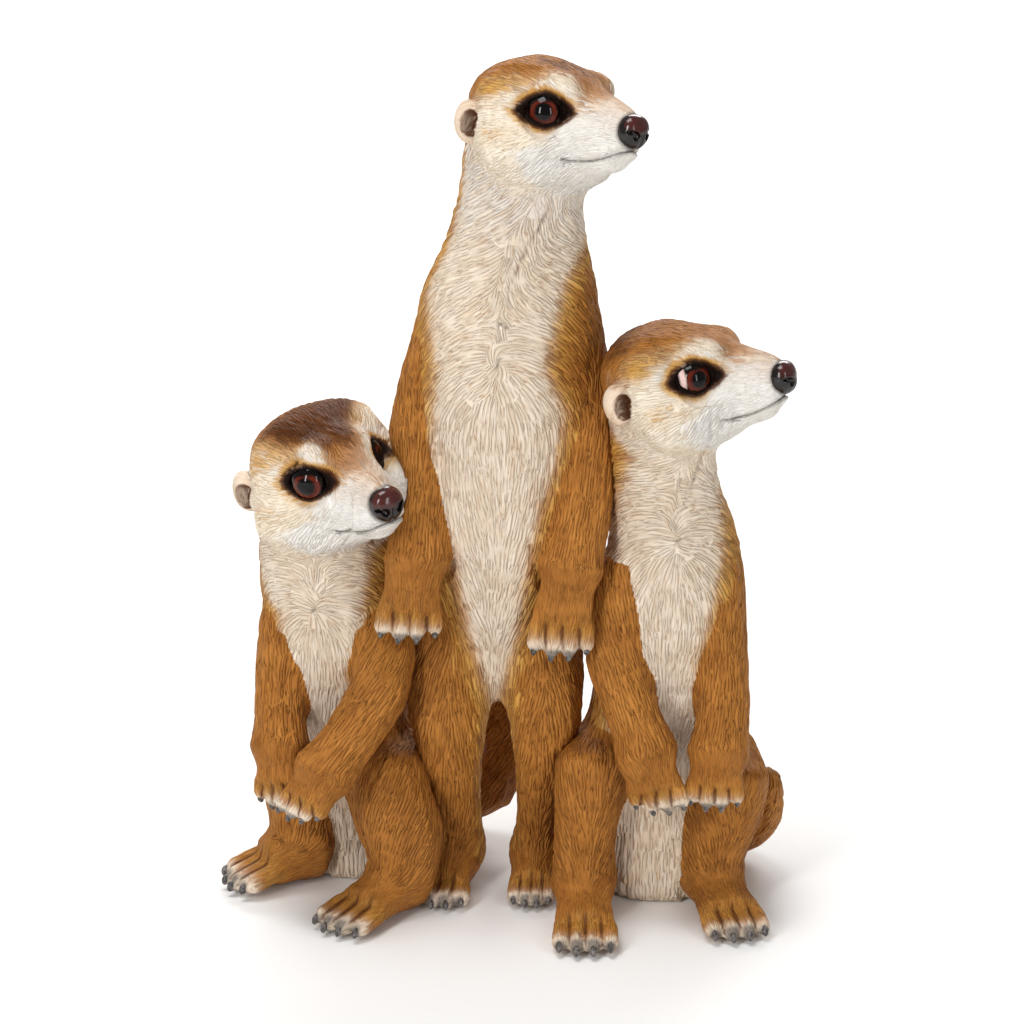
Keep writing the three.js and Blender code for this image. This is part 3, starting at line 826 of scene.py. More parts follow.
def comb(animal, head, points, quads, normals, which, solids, rng):
    """How the carved fur runs. Gives the combings, the depth of the cuts and how high the locks stand.

    A combing has, at each point, its place in its patch, across the fur in strokes and along it in strokes,
    and how far inside the patch it is. The fur is never seen where a patch ends, since another one covers it.
    """
    flow = np.zeros_like(points)
    size = np.zeros_like(points)
    for number, name in enumerate(solids):
        mine = which == number
        flow[mine] = unit(flow_of(animal, head, name, points[mine]))
        size[mine] = strokes_at(animal, head, name, points[mine])
    for _ in range(BLENDING):
        flow = evened(flow, quads, len(points), 0.8)
        size = evened(size, quads, len(points), 0.8)
    flow = unit(flow - normals * (flow * normals).sum(1, keepdims=True))
    combings, locks, share = [], np.zeros(len(points)), np.zeros(len(points))
    for _ in range(COMBINGS):
        owner, inside = patches(points, normals, rng)
        offset = points - points[owner]
        forward = unit(flow + flow[owner])
        out = unit(normals + normals[owner])
        across = (offset * np.cross(out, forward)).sum(1) / size[:, 1]
        along = (offset * forward).sum(1) / size[:, 0]
        start = rng.uniform(20, 80, (len(points), 2))[owner]
        combings.append(np.column_stack([across + start[:, 0], along + start[:, 1], inside]))
        wave = np.cos(across * 2 * math.pi / LOCK + 2.5 * np.sin(along * 2.2 + start[:, 0]))
        locks += inside ** 3 * wave
        share += inside ** 3
    locks = locks / (share + 0.02)
    for _ in range(2):
        locks = evened(locks, quads, len(points))
    return combings, size[:, 2], locks


# ---- painted markings ------------------------------------------------------------------------------------

# Half the width of the brown cap, by how far forward it is on the head.
CAP = ((-40, 17), (-30, 21), (-25, 24), (-20, 23), (-15, 20), (-10, 16.5), (-5, 13), (0, 10.2), (5, 9),
       (10, 7), (15, 3.6), (19, 0))
CAP_FLOOR = ((-40, -30), (-28, -14), (-24, 1), (-20, 4), (-12, 8), (0, 8), (19, -4))  # and its lowest edge

# The dark patch round an eye: half its length, its height above and below the lids' middle, and how round
# its ends are, from 1 for points to 2 for an ellipse.
PATCH_LENGTH = 9.3
PATCH_ABOVE, PATCH_BELOW = 6.1, 5.4
PATCH_ROUNDNESS = 1.45


def head_marks(animal, head, points):
    """How much of each paint lies at points of a head."""
    x, y, z = head.into(points).T
    side = np.abs(y)
    even = np.abs(head.evenly(x, y))
    along, outward, up = eye_place(head, x, y, z)
    near = ramp(-3, 0, outward) * ramp(14, 9, np.abs(outward - 2))
    long = np.abs((along - 0.3) / PATCH_LENGTH)
    tall = np.abs((up - LID_RISE) / np.where(up > LID_RISE, PATCH_ABOVE, PATCH_BELOW))
    patch = (long ** PATCH_ROUNDNESS + tall ** PATCH_ROUNDNESS) ** (1 / PATCH_ROUNDNESS)
    patch = np.where(near > 0, patch, 9)
    half = np.interp(x, *zip(*CAP)) * (0.8 if animal == "left_pup" else 1)
    cap = np.minimum(half - even, (z - np.interp(x, *zip(*CAP_FLOOR))) * 0.7)
    cap = ramp(-5.5, 4.5, cap)
    halo = ramp(0.95, 1.1, patch) * ramp(1.62, 1.16, patch) * near
    halo *= 0.65 + 0.35 * ramp(-2, 2, up + along * 0.4)
    temple = 0.6 * np.exp(-((x + 17) / 7) ** 2 - ((z - 5) / 4.5) ** 2) * ramp(12, 18, side)
    border = np.exp(-((half - even + 1.0) / 3.2) ** 2) * ramp(6, -6, x) * ramp(2, 7, z)
    cheek = np.exp(-((x + 9) / 8) ** 2 - ((z + 8.5) / 4.5) ** 2) * ramp(10, 14, side)
    nape = np.exp(-((x + 30) / 7) ** 2) * ramp(4, -8, z)
    brow = 0.5 * np.exp(-((patch - 1.5) / 0.25) ** 2) * ramp(0, 3, up) * near
    lips = np.exp(-((z - mouth_line(x) + 0.1) / 0.4) ** 2) * ramp(7, 8.5, x) * ramp(30, 26, x)
    bridge = np.exp(-(side / 6) ** 2) * ramp(2, 13, x) * ramp(-6, -2, z) * ramp(27, 22, x)
    ear = ellipsoid((x, side, z), EAR_HOLLOW_AT, (3.2, 4.6, 4.7))
    rim = ellipsoid((x, side, z), EAR_AT, (5.6, 5.0, 8))
    hollow = ramp(0.55, -0.4, ear) * ramp(1.5, 0, rim) * ramp(-1.8, 2.6, x - EAR_AT[0])
    nostril = ramp(1.1, 0.2, ellipsoid((x, y, z), NOSE_AT, (4.7, 5.8, 5.8)))
    dark_cap = {
        "adult": 0.8 * np.exp(-((x + 3) / 9) ** 2) * ramp(9, 4, side) * ramp(6, 13, z),
        "left_pup": 1.6 * ramp(-34, -14, x) * ramp(9, 15, z),
        "right_pup": ramp(-16, -28, x) * ramp(6, 13, z),
    }[animal]
    # Darker toward the front of the ear's hollow and down into its canal: the ear's own brown paint, deepened
    # there as painted shade of the recess.
    canal_paint_and_shade = ramp(-0.8, 3.4, x - EAR_AT[0] - 0.35 * np.abs(z - EAR_HOLLOW_AT[2])) * hollow
    muzzle = ramp(0, 9, x) * ramp(6, 0, z) + ramp(-6, 4, x) * ramp(-9, -14, z)
    return {
        "cream": 1 - cap,
        "gold": np.clip(halo + 0.8 * temple + 0.35 * cheek + 0.5 * border + 0.4 * nape, 0, 1),
        "white": np.clip(muzzle + brow, 0, 1) * (1 - cap),
        "umber": np.clip(cap * (0.2 + 0.5 * dark_cap) + 0.7 * hollow + 0.3 * canal_paint_and_shade
                         + 0.9 * ramp(1.3, 1.05, patch) * near, 0, 1),
        "rose": np.clip(0.7 * bridge + 0.4 * ramp(1.2, -0.2, rim) + 0.2 * hollow, 0, 1) * (1 - 0.5 * cap),
        "soot": np.clip(ramp(1.16, 0.9, patch) * near + 0.4 * canal_paint_and_shade ** 3, 0, 1),
        "grey": np.clip(0.7 * lips + 0.6 * nostril, 0, 1),
    }


def on_solids(which, solids, words):
    """Whether each point lies on a solid that has one of these words in its name."""
    return np.isin(which, [i for i, name in enumerate(solids) if any(word in name for word in words)])


def body_marks(animal, points, which, solids):
    """How much of each paint lies at points of a body."""
    x, y, z = points.T
    rows = CHESTS[animal]["bib"]
    top = CHESTS[animal]["top"]
    edge = np.minimum(x - between(rows, 1, z), between(rows, 2, z) - x)
    beside = ramp(2, -8, x - between(CHESTS[animal]["middle"], 1, z))
    behind = -7 + (6 - 7 * beside) * ramp(top + 22, top + 42, z)
    edge = np.minimum(edge, behind - y)
    chest = on_solids(which, solids, THICK_PARTS + (("_leg_",) if animal == "adult" else ()))
    if animal == "left_pup":
        edge = np.maximum(edge, np.minimum(edge + 16, 14 - y) - 30 * ramp(48, 60, z))
    edge = np.where(chest, edge, -19)
    cream = ramp(-6, 4.5, edge)
    gold = 0.6 * np.exp(-((edge + 3.4) / 4.5) ** 2)
    low = on_solids(which, solids, ("_leg_",)) * ramp(60, 15, z)
    umber = 0.16 * low * (1 - cream)
    grey = np.zeros(len(points))
    if animal != "adult":
        gold += 0.16 * cream * ramp(62, 30, z)
    white = 0.55 * cream * ramp(top + 30, top + 50, z)
    for number, name in enumerate(solids):
        mine = which == number
        if name in PAWS:
            along, across, back = Paw(name).place(points[mine])
            end = np.percentile(along, 99)
            tips = ramp(0.1 if "_forepaw_" in name else 0.3, 0.85, along)
            between_toes = np.exp(-((across - np.round(across)) / 0.13) ** 2) * (np.abs(across) < 1.4)
            between_toes *= ramp(-0.1, 0.2, along) * ramp(-1, 1, back)
            on_toe = np.abs(across - np.floor(across) - 0.5)
            cream[mine] = tips
            gold[mine] = 0.45 * np.exp(-((along - 0.25) / 0.3) ** 2)
            umber[mine] = 0.2 * (1 - tips) + 0.75 * between_toes * (1 - 0.3 * tips)
            grey[mine] = 0.8 * ramp(end - 0.24, end - 0.1, along) * ramp(0.5, 0.3, on_toe)
    return {"cream": cream, "gold": gold, "white": white, "umber": umber, "rose": 0.25 * cream,
            "soot": np.zeros(len(points)), "grey": grey}


def throat_groove(animal, points):
    """How deep the parting down the front of the neck is at each point, up to 1."""
    x, y, z = points.T
    top = CHESTS[animal]["top"]
    middle = x - between(CHESTS[animal]["middle"], 1, z)
    length = ramp(top + 16, top + 30, z) * ramp(top + 58, top + 44, z) * ramp(2, -6, y)
    return np.exp(-(middle / 0.75) ** 2) * length


def marks_on(animal, head, points, which, solids):
    """All the paint on a skin."""
    to_head, to_neck = (solids[f"{animal}_{name}"].at(points) for name in ("head", "neck"))
    face = ramp(-6, 6, to_neck - to_head) * ramp(9, 6, to_head)
    face = np.where(on_solids(which, solids, ("_ear_",)), 1, face)
    on_head = head_marks(animal, head, points)
    on_body = body_marks(animal, points, which, solids)
    on_body["umber"] += 0.4 * throat_groove(animal, points)
    return {key: on_head[key] * face + on_body[key] * (1 - face) for key in on_head}


# ---- materials -------------------------------------------------------------------------------------------

def colour(code):
    """An sRGB hex colour as linear values."""
    parts = [int(code[i:i + 2], 16) / 255 for i in (0, 2, 4)]
    return [v / 12.92 if v <= 0.04045 else ((v + 0.055) / 1.055) ** 2.4 for v in parts] + [1]


def new_material(name):
    """A material, its nodes and its surface."""
    material = bpy.data.materials.new(name)
    material.use_nodes = True
    return material, material.node_tree, material.node_tree.nodes["Principled BSDF"]


def add(tree, kind, inputs, **settings):
    """Adds a node. Its inputs are given by name or number, each as a value or as the socket to link."""
    node = tree.nodes.new("ShaderNode" + kind)
    for key, value in settings.items():
        setattr(node, key, value)
    for key, value in inputs.items():
        if isinstance(value, bpy.types.NodeSocket):
            tree.links.new(value, node.inputs[key])
        else:
            node.inputs[key].default_value = value
    return node


STROKE_SWAY = 1.0  # how far strokes sway from side to side, in strokes


def per_metre(size):
    """The scale that gives a pattern this size in mm."""
    return 1 / (size * MM)


FAINT = 1e-4  # the weight of the plain skin between the patches


def weighted(tree, pairs, plain):
    """The mean of the values by their weights, or the plain value where all the weights are small."""
    total, weight_sum = plain * FAINT, FAINT
    for value, weight in pairs:
        total = add(tree, "Math", {0: value, 1: weight, 2: total}, operation="MULTIPLY_ADD").outputs[0]
        weight_sum = add(tree, "Math", {0: weight, 1: weight_sum}, operation="ADD").outputs[0]
    return add(tree, "Math", {0: total, 1: weight_sum}, operation="DIVIDE").outputs[0]


def chisel_strokes(tree):
    """All the combings mixed: the strokes' profile, shade, fine hairs, and the distance from their spines.

    A combing is measured in strokes, whose sizes in mm are in STROKES, so its patterns have a scale of 1.
    """
    profiles, shades, hairs, flanks = [], [], [], []
    for number in range(COMBINGS):
        combing = add(tree, "Attribute", {}, attribute_name=f"combing_{number}").outputs["Vector"]
        inside = add(tree, "SeparateXYZ", {0: combing}).outputs["Z"]
        weight = add(tree, "Math", {0: inside, 1: 4.0}, operation="POWER").outputs[0]
        flat = add(tree, "VectorMath", {0: combing, 1: (1, 1, 0)}, operation="MULTIPLY").outputs[0]
        slow = add(tree, "VectorMath", {0: flat, 1: (0.3, 1.5, 0)}, operation="MULTIPLY").outputs[0]
        sway = add(tree, "TexNoise", {"Vector": slow, "Scale": 1.0, "Detail": 1.0}).outputs["Fac"]
        sway = add(tree, "CombineXYZ", {"X": sway}).outputs[0]
        wavy = add(tree, "VectorMath", {0: sway, 1: (STROKE_SWAY, 0, 0), 2: flat},
                   operation="MULTIPLY_ADD").outputs[0]
        edge = add(tree, "TexVoronoi", {"Vector": wavy, "Scale": 1.0, "Randomness": 0.85},
                   voronoi_dimensions="2D", feature="DISTANCE_TO_EDGE").outputs["Distance"]
        cell = add(tree, "TexVoronoi", {"Vector": wavy, "Scale": 1.0, "Randomness": 0.85},
                   voronoi_dimensions="2D", feature="F1")
        aside = add(tree, "VectorMath", {0: wavy, 1: cell.outputs["Position"]},
                    operation="SUBTRACT").outputs[0]
        aside = add(tree, "SeparateXYZ", {0: aside}).outputs["X"]
        flanks.append((add(tree, "Math", {0: aside}, operation="ABSOLUTE").outputs[0], weight))
        fine = add(tree, "VectorMath", {0: wavy, 1: (3.6, 0.7, 0)}, operation="MULTIPLY").outputs[0]
        strand = add(tree, "TexNoise", {"Vector": fine, "Scale": 1.0, "Detail": 1.0}).outputs["Fac"]
        profiles.append((edge, weight))
        shades.append((cell.outputs["Color"], weight))
        hairs.append((strand, weight))
    plain_skin = ((profiles, 0.3), (shades, 0.5), (hairs, 0.5), (flanks, 0.1))
    return [weighted(tree, pairs, plain) for pairs, plain in plain_skin]


def painted_resin():
    """Cast polyresin, sprayed in matt acrylic, washed dark in the cuts and dry-brushed light on the ridges.

    The fur is cut into the mould's master with a loop tool in long wavy strokes that lie side by side. The
    eye sees a dull skin with a faint satin on the ridges, brushed edges between the colours that follow the
    strokes, and brown or beige wash lying in the cuts.
    """
    material, tree, shader = new_material("painted_polyresin")
    place = add(tree, "TexCoord", {}).outputs["Object"]
    mark = {key: add(tree, "Attribute", {}, attribute_name=key).outputs["Fac"]
            for key in ("cream", "gold", "white", "umber", "rose", "soot", "grey", "carving")}

    profile, shade, hair, flank = chisel_strokes(tree)
    # A stroke runs on into the next along the fur: it is cut at its sides and not at its ends.
    spine = add(tree, "MapRange", {0: flank, 1: 0.34, 2: 0.1}, interpolation_type="SMOOTHSTEP").outputs[0]
    ridge = add(tree, "MapRange", {0: profile, 1: 0.0, 2: 0.36}, interpolation_type="SMOOTHSTEP").outputs[0]
    ridge = add(tree, "Math", {0: ridge, 1: spine}, operation="MAXIMUM").outputs[0]

    # How light each stroke is: its own shade, its hairs, and patches where more or less paint went on.
    mottle = add(tree, "TexNoise", {"Vector": place, "Scale": per_metre(9), "Detail": 3.0}).outputs["Fac"]
    tone = add(tree, "Math", {0: shade, 1: 0.5, 2: mottle}, operation="MULTIPLY_ADD").outputs[0]
    tone = add(tree, "Math", {0: hair, 1: 0.7, 2: tone}, operation="MULTIPLY_ADD").outputs[0]
    tone = add(tree, "MapRange", {0: tone, 1: 0.72, 2: 1.45}).outputs[0]

    # Wash gathers in the cuts, by as much as they are deep.
    cut = add(tree, "MapRange", {0: profile, 1: 0.13, 2: 0.01, 4: 0.85}).outputs[0]
    deep = add(tree, "MapRange", {0: mark["carving"], 1: 0.0, 2: 0.35}).outputs[0]
    side = add(tree, "Math", {0: 1.0, 1: spine}, operation="SUBTRACT").outputs[0]
    wash = add(tree, "Math", {0: cut, 1: deep}, operation="MULTIPLY").outputs[0]
    wash = add(tree, "Math", {0: wash, 1: side}, operation="MULTIPLY").outputs[0]

    def tint(light, dark, washed):
        """A paint in its lighter and darker strokes, with its wash in the cuts."""
        plain = add(tree, "Mix", {0: tone, 6: colour(dark), 7: colour(light)}, data_type="RGBA").outputs[2]
        return add(tree, "Mix", {0: wash, 6: plain, 7: colour(washed)}, data_type="RGBA").outputs[2]

    def brushed(amount):
        """A paint's amount taken up stroke by stroke, so that its edge runs out along the fur."""
        uneven = add(tree, "Math", {0: shade, 1: 1.0, 2: amount}, operation="MULTIPLY_ADD").outputs[0]
        taken = add(tree, "MapRange", {0: uneven, 1: 0.72, 2: 1.28},
                    interpolation_type="SMOOTHSTEP").outputs[0]
        limit = add(tree, "Math", {0: amount, 1: 5.0}, operation="MULTIPLY").outputs[0]
        taken = add(tree, "Math", {0: taken, 1: limit}, operation="MINIMUM").outputs[0]
        return add(tree, "Mix", {0: 0.6, 2: amount, 3: taken}).outputs[0]

    layers = (
        ("cream", brushed(mark["cream"]), tint("F1E8D8", "E0CEB4", "BC9C7A")),
        ("gold", brushed(mark["gold"]), tint("D6A552", "B67F32", "743F12")),
        ("white", brushed(mark["white"]), tint("EAE7E2", "D9D2C8", "B7ABA0")),
        ("rose", mark["rose"], tint("D8BBA4", "C2A086", "946C56")),
        ("umber", brushed(mark["umber"]), tint("663A1C", "472610", "241208")),
        ("grey", mark["grey"], tint("6E6660", "4A4340", "2A2523")),
        ("soot", brushed(mark["soot"]), tint("1C0E08", "120805", "080403")),
    )
    base = tint("BE7E38", "925A22", "4E280C")
    for key, amount, paint in layers:
        base = add(tree, "Mix", {0: amount, 6: base, 7: paint}, data_type="RGBA").outputs[2]
    tree.links.new(base, shader.inputs["Base Color"])

    satin = add(tree, "MapRange", {0: ridge, 3: 0.75, 4: 0.5}).outputs[0]
    tree.links.new(satin, shader.inputs["Roughness"])
    dark = add(tree, "Math", {0: mark["umber"], 1: 0.8, 2: mark["soot"]}, operation="MULTIPLY_ADD").outputs[0]
    sheen = add(tree, "MapRange", {0: dark, 3: 0.15, 4: 0.08}).outputs[0]
    tree.links.new(sheen, shader.inputs["Specular IOR Level"])
    grain = add(tree, "TexNoise", {"Vector": place, "Scale": per_metre(0.5), "Detail": 2.0}).outputs["Fac"]
    strands = add(tree, "Math", {0: hair, 1: 0.5, 2: ridge}, operation="MULTIPLY_ADD").outputs[0]
    relief = add(tree, "Math", {0: strands, 1: mark["carving"]}, operation="MULTIPLY").outputs[0]
    relief = add(tree, "Math", {0: grain, 1: 0.04, 2: relief}, operation="MULTIPLY_ADD").outputs[0]
    bump = add(tree, "Bump", {"Height": relief, "Distance": MM, "Strength": 1.0})
    tree.links.new(bump.outputs[0], shader.inputs["Normal"])
    return material


# The iris outwards from its middle: its colours, and where they lie on a radius of seven millimetres.
IRIS_RINGS = ((0.40, "2A0C08"), (0.56, "50180C"), (0.70, "602210"), (0.77, "360D07"), (0.82, "0C0504"))


def varnished_eye():
    """Resin eyes painted in red-brown and black under a clear gloss varnish, wet-looking and sharply lit."""
    material, tree, shader = new_material("varnished_eye")
    gaze = add(tree, "Attribute", {}, attribute_name="gaze").outputs["Fac"]
    sclera = add(tree, "Attribute", {}, attribute_name="sclera").outputs["Fac"]
    place = add(tree, "TexCoord", {}).outputs["Object"]
    streaks = add(tree, "TexNoise", {"Vector": place, "Scale": per_metre(0.9), "Detail": 3.0}).outputs["Fac"]
    uneven = add(tree, "Math", {0: streaks, 1: 0.9, 2: gaze}, operation="MULTIPLY_ADD").outputs[0]
    rings = add(tree, "ValToRGB", {0: add(tree, "MapRange", {0: uneven, 1: 0.0, 2: 7.0}).outputs[0]})
    ramp_of = rings.color_ramp
    ramp_of.elements[0].color = colour("050303")
    ramp_of.elements[1].color = colour("080404")
    for where, code in IRIS_RINGS:
        ramp_of.elements.new(where).color = colour(code)
    # The pupil's black, together with the upper lid's painted shadow across the top of the ball.
    pupil_and_lid_shadow = add(tree, "Attribute", {}, attribute_name="pupil_and_lid_shadow").outputs["Fac"]
    iris = add(tree, "Mix", {0: pupil_and_lid_shadow, 6: rings.outputs[0], 7: colour("050303")}, data_type="RGBA").outputs[2]
    white = add(tree, "Mix", {0: sclera, 6: iris, 7: colour("E3C4BD")}, data_type="RGBA").outputs[2]
    tree.links.new(white, shader.inputs["Base Color"])
    shader.inputs["Roughness"].default_value = 0.04
    shader.inputs["IOR"].default_value = 1.32
    return material


def varnished_nose():
    """A nose pad painted black, red-brown on top, under gloss varnish."""
    material, tree, shader = new_material("varnished_nose")
    red = add(tree, "Attribute", {}, attribute_name="red").outputs["Fac"]
    place = add(tree, "TexCoord", {}).outputs["Object"]
    patches = add(tree, "TexNoise", {"Vector": place, "Scale": per_metre(2.2), "Detail": 4.0}).outputs["Fac"]
    amount = add(tree, "Math", {0: patches, 1: 0.7, 2: red}, operation="MULTIPLY_ADD").outputs[0]
    amount = add(tree, "MapRange", {0: amount, 1: 0.55, 2: 1.25}).outputs[0]
    base = add(tree, "Mix", {0: amount, 6: colour("120A09"), 7: colour("4C1E19")},
               data_type="RGBA").outputs[2]
    tree.links.new(base, shader.inputs["Base Color"])
    shader.inputs["Roughness"].default_value = 0.16
    shader.inputs["IOR"].default_value = 1.5
    bump = add(tree, "Bump", {"Height": patches, "Distance": 0.25 * MM, "Strength": 0.5})
    tree.links.new(bump.outputs[0], shader.inputs["Normal"])
    return material


def painted_claw():
    """Claws modelled in the casting and painted charcoal, rubbed lighter in patches, with a low gloss."""
    material, tree, shader = new_material("painted_claw")
    place = add(tree, "TexCoord", {}).outputs["Object"]
    rub = add(tree, "TexNoise", {"Vector": place, "Scale": per_metre(1.1), "Detail": 4.0}).outputs["Fac"]
    rub = add(tree, "MapRange", {0: rub, 1: 0.4, 2: 0.68}).outputs[0]
    base = add(tree, "Mix", {0: rub, 6: colour("3A3634"), 7: colour("7D7672")}, data_type="RGBA").outputs[2]
    tree.links.new(base, shader.inputs["Base Color"])
    shader.inputs["Roughness"].default_value = 0.38
    bump = add(tree, "Bump", {"Height": rub, "Distance": 0.1 * MM, "Strength": 0.4})
    tree.links.new(bump.outputs[0], shader.inputs["Normal"])
    return material


# ---- eyes, noses and claws -------------------------------------------------------------------------------

def finish_piece(piece, material, replaced=()):
    piece.data.materials.append(material)
    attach(piece, "root")
    if replaced:
        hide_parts(*replaced)


PUPIL = 2.7  # its radius
LID_SHADOW_BAND = (2.9, 4.1)  # the heights above its middle where the ball is darkened by a painted shadow of the upper lid
# How many degrees each animal's irises are turned towards its nose.
GAZE = {"adult": 0, "right_pup": 14, "left_pup": 2}


def eyeball(name, head, side, material):
    """A glossy ball between the lids. gaze is the distance from the middle of its iris, in mm."""
    rings, turns = 40, 64
    theta = np.linspace(0, math.pi, rings + 1)[1:-1]
    phi = np.arange(turns) * 2 * math.pi / turns
    theta, phi = np.meshgrid(theta, phi, indexing="ij")
    look = head.look * (1, side, 1)
    level = np.cross((0, 0, 1), look)
    level /= np.linalg.norm(level)
    upright = np.cross(look, level)
    flat = np.stack([np.cos(theta), np.sin(theta) * np.cos(phi), np.sin(theta) * np.sin(phi)], -1)
    points = flat.reshape(-1, 3) @ np.array([look, level, upright])
    quads = []
    for i in range(rings - 2):
        for j in range(turns):
            k = (j + 1) % turns
            quads.append((i * turns + j, (i + 1) * turns + j, (i + 1) * turns + k, i * turns + k))
    last = (rings - 2) * turns
    for j in range(0, turns, 2):  # the two caps, closed with pairs of triangles in one quad each
        quads.append((len(points), j, j + 1, (j + 2) % turns))
        quads.append((len(points) + 1, last + (j + 2) % turns, last + j + 1, last + j))
    points = np.vstack([points, look, -look])
    turn = math.radians(GAZE[head.animal])
    gaze_at = math.cos(turn) * look + math.sin(turn) * (head.corner * (1, side, 1))
    angle = np.arccos(np.clip(points @ gaze_at, -1, 1))
    rear = points @ (head.corner * (1, side, 1))
    sclera = ramp(-0.46, -0.54, rear) * ramp(-0.8, -0.72, rear) * (head.animal == "right_pup")
    # The pupil is set a little above the iris's middle, and the top of the ball is painted dark: a painted
    # shadow of the upper lid, kept with the pupil's black in one mark.
    pupil_and_lid_shadow = np.arccos(np.clip(points @ unit(gaze_at + 0.07 * upright), -1, 1)) * EYE_RADIUS
    pupil_and_lid_shadow = np.maximum(ramp(PUPIL + 0.3, PUPIL, pupil_and_lid_shadow), ramp(*LID_SHADOW_BAND, points @ upright * EYE_RADIUS))
    placed = head.out(head.eye * (1, side, 1) + (0, head.shift, 0) + points * EYE_RADIUS)
    piece = make_mesh(f"{name}_varnished", placed, np.array(quads), {
        "gaze": angle * EYE_RADIUS, "pupil_and_lid_shadow": pupil_and_lid_shadow, "sclera": sclera})
    finish_piece(piece, material, [name])


NOSE_HALF = (4.4, 5.7, 5.7)  # half of the nose pad's depth, width and height
NOSE_SQUARENESS = 2.3  # 2 would make it an ellipsoid


def nose_pad(name, head, material):
    """The nose's leather, with comma nostrils and a cleft below, meshed from its own field."""
    step = 0.3
    reach = np.arange(-9, 9.01, step)
    x, y, z = np.meshgrid(reach + NOSE_AT[0], reach, reach + NOSE_AT[2], indexing="ij", sparse=True)
    side = np.abs(y)
    back = np.abs(x - NOSE_AT[0]) / NOSE_HALF[0]
    wide = side / (NOSE_HALF[1] - 0.9 * ramp(0, -6, z - NOSE_AT[2]))
    tall = np.abs(z - NOSE_AT[2]) / NOSE_HALF[2]
    form = sum(part ** NOSE_SQUARENESS for part in (back, wide, tall)) ** (1 / NOSE_SQUARENESS)
    values = (form - 1) * 4.6
    nostril = ellipsoid((x, side, z), NOSE_AT + (4.4, 2.5, -1.2), (2.4, 1.3, 1.5))
    comma = ellipsoid((x, side, z), NOSE_AT + (3.2, 4.3, 0.1), (2.2, 1.6, 0.6))
    values = np.maximum(values, -melt(nostril, comma, 1.0))
    cleft = np.exp(-(y / 0.45) ** 2) * ramp(0.5, -1.5, z - NOSE_AT[2]) * ramp(0, 2, x - NOSE_AT[0])
    values = values + 0.8 * cleft
    points, quads = surface(Field((0, 0, 0), step, values.astype(np.float32)))
    points = points + (reach[0] + NOSE_AT[0], reach[0], reach[0] + NOSE_AT[2])
    x, y, z = points.T
    red = ramp(-1.5, 3.5, z - NOSE_AT[2] + 0.35 * (x - NOSE_AT[0])) * ramp(-1.2, 1.5, x - NOSE_AT[0])
    red = np.maximum(red, 0.5 * ramp(1.5, 0.6, np.abs(np.abs(y) - 2.2)) * ramp(1, 3, x - NOSE_AT[0]))
    piece = make_mesh(f"{name}_varnished", head.out(points), quads, {"red": red - 0.25})
    finish_piece(piece, material, [name])


# A claw's size, in radii of its toe.
CLAW_LENGTH = 0.95
CLAW_ROOT = 0.45  # how much of it is in the toe
CLAW_RADIUS = 0.42


def claws(animal, field, material):
    """Blunt claws on the ends of the toes that show, curving down, all of one animal's in one mesh."""
    rings, turns = 9, 12
    points, quads = [], []
    for name in PAWS:
        if not name.startswith(animal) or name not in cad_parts:
            continue
        paw = Paw(name)
        for toe in range(TOES):
            forward = paw.along
            top = unit(paw.back - (paw.back @ forward) * forward)
            ray = paw.toe_tip(toe) + paw.toe * (0.25 * top + forward * np.linspace(-2, 2, 41)[:, None])
            within = np.flatnonzero(field.at(ray) < 0)
            if not len(within):
                continue
            length = paw.toe * CLAW_LENGTH
            start = ray[within[-1]] - forward * paw.toe * CLAW_ROOT
            first = len(points)
            for i in range(rings):
                t = i / (rings - 1)
                centre = start + forward * length * t * (1 - 0.15 * t) - top * length * 0.62 * t ** 1.7
                radius = paw.toe * CLAW_RADIUS * (1 - t ** 3) ** 0.6 * (0.6 + 0.4 * min(1, 2.5 * t))
                heading = unit(forward * (1 - 0.3 * t) - top * 1.05 * t ** 0.7)
                above = unit(np.cross(heading, paw.across))
                above *= np.sign(above @ top)
                for j in range(turns):
                    angle = 2 * math.pi * j / turns
                    ring = paw.across * math.cos(angle) * 0.85 + above * math.sin(angle) * 1.1
                    point = centre + ring * max(radius, 0.04)
                    point[2] = max(point[2], 0.05)
                    points.append(point)
            for i in range(rings - 1):
                for j in range(turns):
                    k = (j + 1) % turns
                    quads.append((first + i * turns + j, first + i * turns + k,
                                  first + (i + 1) * turns + k, first + (i + 1) * turns + j))
    points, quads = np.array(points), np.array(quads)
    piece = make_mesh(f"{animal}_claws", points, quads, {})
    finish_piece(piece, material)


# ---- the statue ------------------------------------------------------------------------------------------

SEED = 7
LOCK_HEIGHT = 0.8  # how high a lock stands, in depths of its strokes
GROOVE_DEPTH = 0.9  # the throat's parting


def model(animal):
    """One animal's carved skin and all that its pieces need."""
    rng = np.random.default_rng(SEED + ANIMALS.index(animal))
    head = Head(animal)
    field, solids = animal_field(animal, head)
    points, quads = surface(field)
    normals = normals_of(points, quads)
    which = nearest_solid(points, solids)
    combings, carving, locks = comb(animal, head, points, quads, normals, which, solids, rng)
    marks = marks_on(animal, head, points, which, solids)
    marks["carving"] = carving
    for number, combing in enumerate(combings):
        marks[f"combing_{number}"] = combing
    raised = LOCK_HEIGHT * carving * locks - GROOVE_DEPTH * throat_groove(animal, points)
    points = points + normals * raised[:, None]
    points[:, 2] = np.maximum(points[:, 2], 0)
    return head, field, points, quads, normals_of(points, quads), which, solids, marks


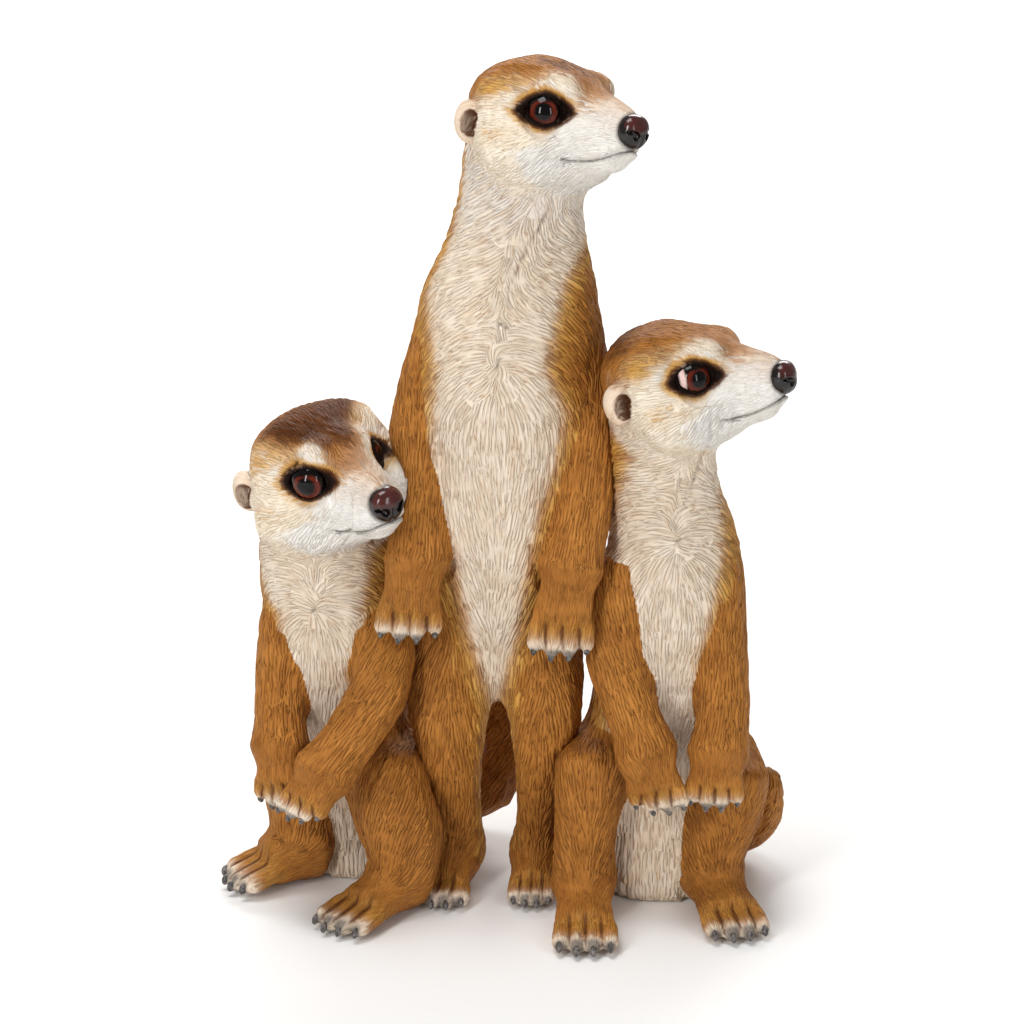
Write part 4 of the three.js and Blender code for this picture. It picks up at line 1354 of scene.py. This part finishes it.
resin, eye_varnish = painted_resin(), varnished_eye()
nose_varnish, claw_paint = varnished_nose(), painted_claw()
with ThreadPoolExecutor() as pool:
    models = dict(zip(ANIMALS, pool.map(model, ANIMALS)))
for animal, (head, field, points, quads, normals, which, solids, marks) in models.items():
    coat_pieces(animal, points, quads, normals, which, solids, marks, resin)
    for name in SOLIDS:
        if name.startswith(f"{animal}_eye_"):
            eyeball(name, head, -1 if name.endswith("right") else 1, eye_varnish)
    nose_pad(f"{animal}_nose", head, nose_varnish)
    claws(animal, field, claw_paint)


# ---- the studio ------------------------------------------------------------------------------------------

def look_at(thing, target):
    thing.rotation_euler = (Vector(target) - thing.location).to_track_quat("-Z", "Y").to_euler()


camera = bpy.data.objects.new("camera", bpy.data.cameras.new("camera"))
bpy.context.collection.objects.link(camera)
camera.data.sensor_width = 36
camera.data.lens = 123.19
aim = Vector((0.003949, -0.006120, 0.139))
dip = math.radians(17)
distance = 1.2
camera.location = aim + Vector((0, -math.cos(dip), math.sin(dip))) * distance
look_at(camera, aim)
bpy.context.scene.camera = camera

# Matt white card, as it is rolled: dull all over, and hardly uneven.
white_card, board, card_face = new_material("matt_white_board")
speckle = add(board, "TexNoise", {"Scale": per_metre(40), "Detail": 2.0}).outputs["Fac"]
card_tone = add(board, "Mix", {0: speckle, 6: colour("F4F3F1"), 7: colour("FAFAF9")},
                data_type="RGBA").outputs[2]
board.links.new(card_tone, card_face.inputs["Base Color"])
card_face.inputs["Roughness"].default_value = 0.85
floor_mesh = bpy.data.meshes.new("floor")
floor_mesh.from_pydata([(-4, -4, 0), (4, -4, 0), (4, 4, 0), (-4, 4, 0)], [], [(0, 1, 2, 3)])
floor = bpy.data.objects.new("floor", floor_mesh)
bpy.context.collection.objects.link(floor)
floor.data.materials.append(white_card)

SOFTBOXES = (  # name, place in metres, width and height in metres, watts
    ("key", (-0.75, -1.25, 0.7), (0.2, 0.9), 11),
    ("fill", (0.8, -1.2, 0.55), (0.18, 0.9), 4),
    ("top", (-0.3, -0.1, 1.5), (0.7, 0.7), 11),
    ("back", (0.3, 1.2, 1.0), (1.0, 0.8), 5),
    ("far_floor", (0.0, 3.2, 2.0), (3.0, 1.0), 110),
)
for name, place, (wide, tall), watts in SOFTBOXES:
    lamp = bpy.data.lights.new(name, "AREA")
    lamp.shape = "RECTANGLE"
    lamp.size, lamp.size_y, lamp.energy = wide, tall, watts
    box = bpy.data.objects.new(name, lamp)
    bpy.context.collection.objects.link(box)
    box.location = place
    look_at(box, (0, 3.0, 0) if name == "far_floor" else (0, 0, 0.14))

world = bpy.data.worlds.new("studio")
world.use_nodes = True
world.node_tree.nodes["Background"].inputs["Color"].default_value = colour("FFFFFF")
world.node_tree.nodes["Background"].inputs["Strength"].default_value = 0.32
bpy.context.scene.world = world
bpy.context.scene.view_settings.view_transform = "Standard"
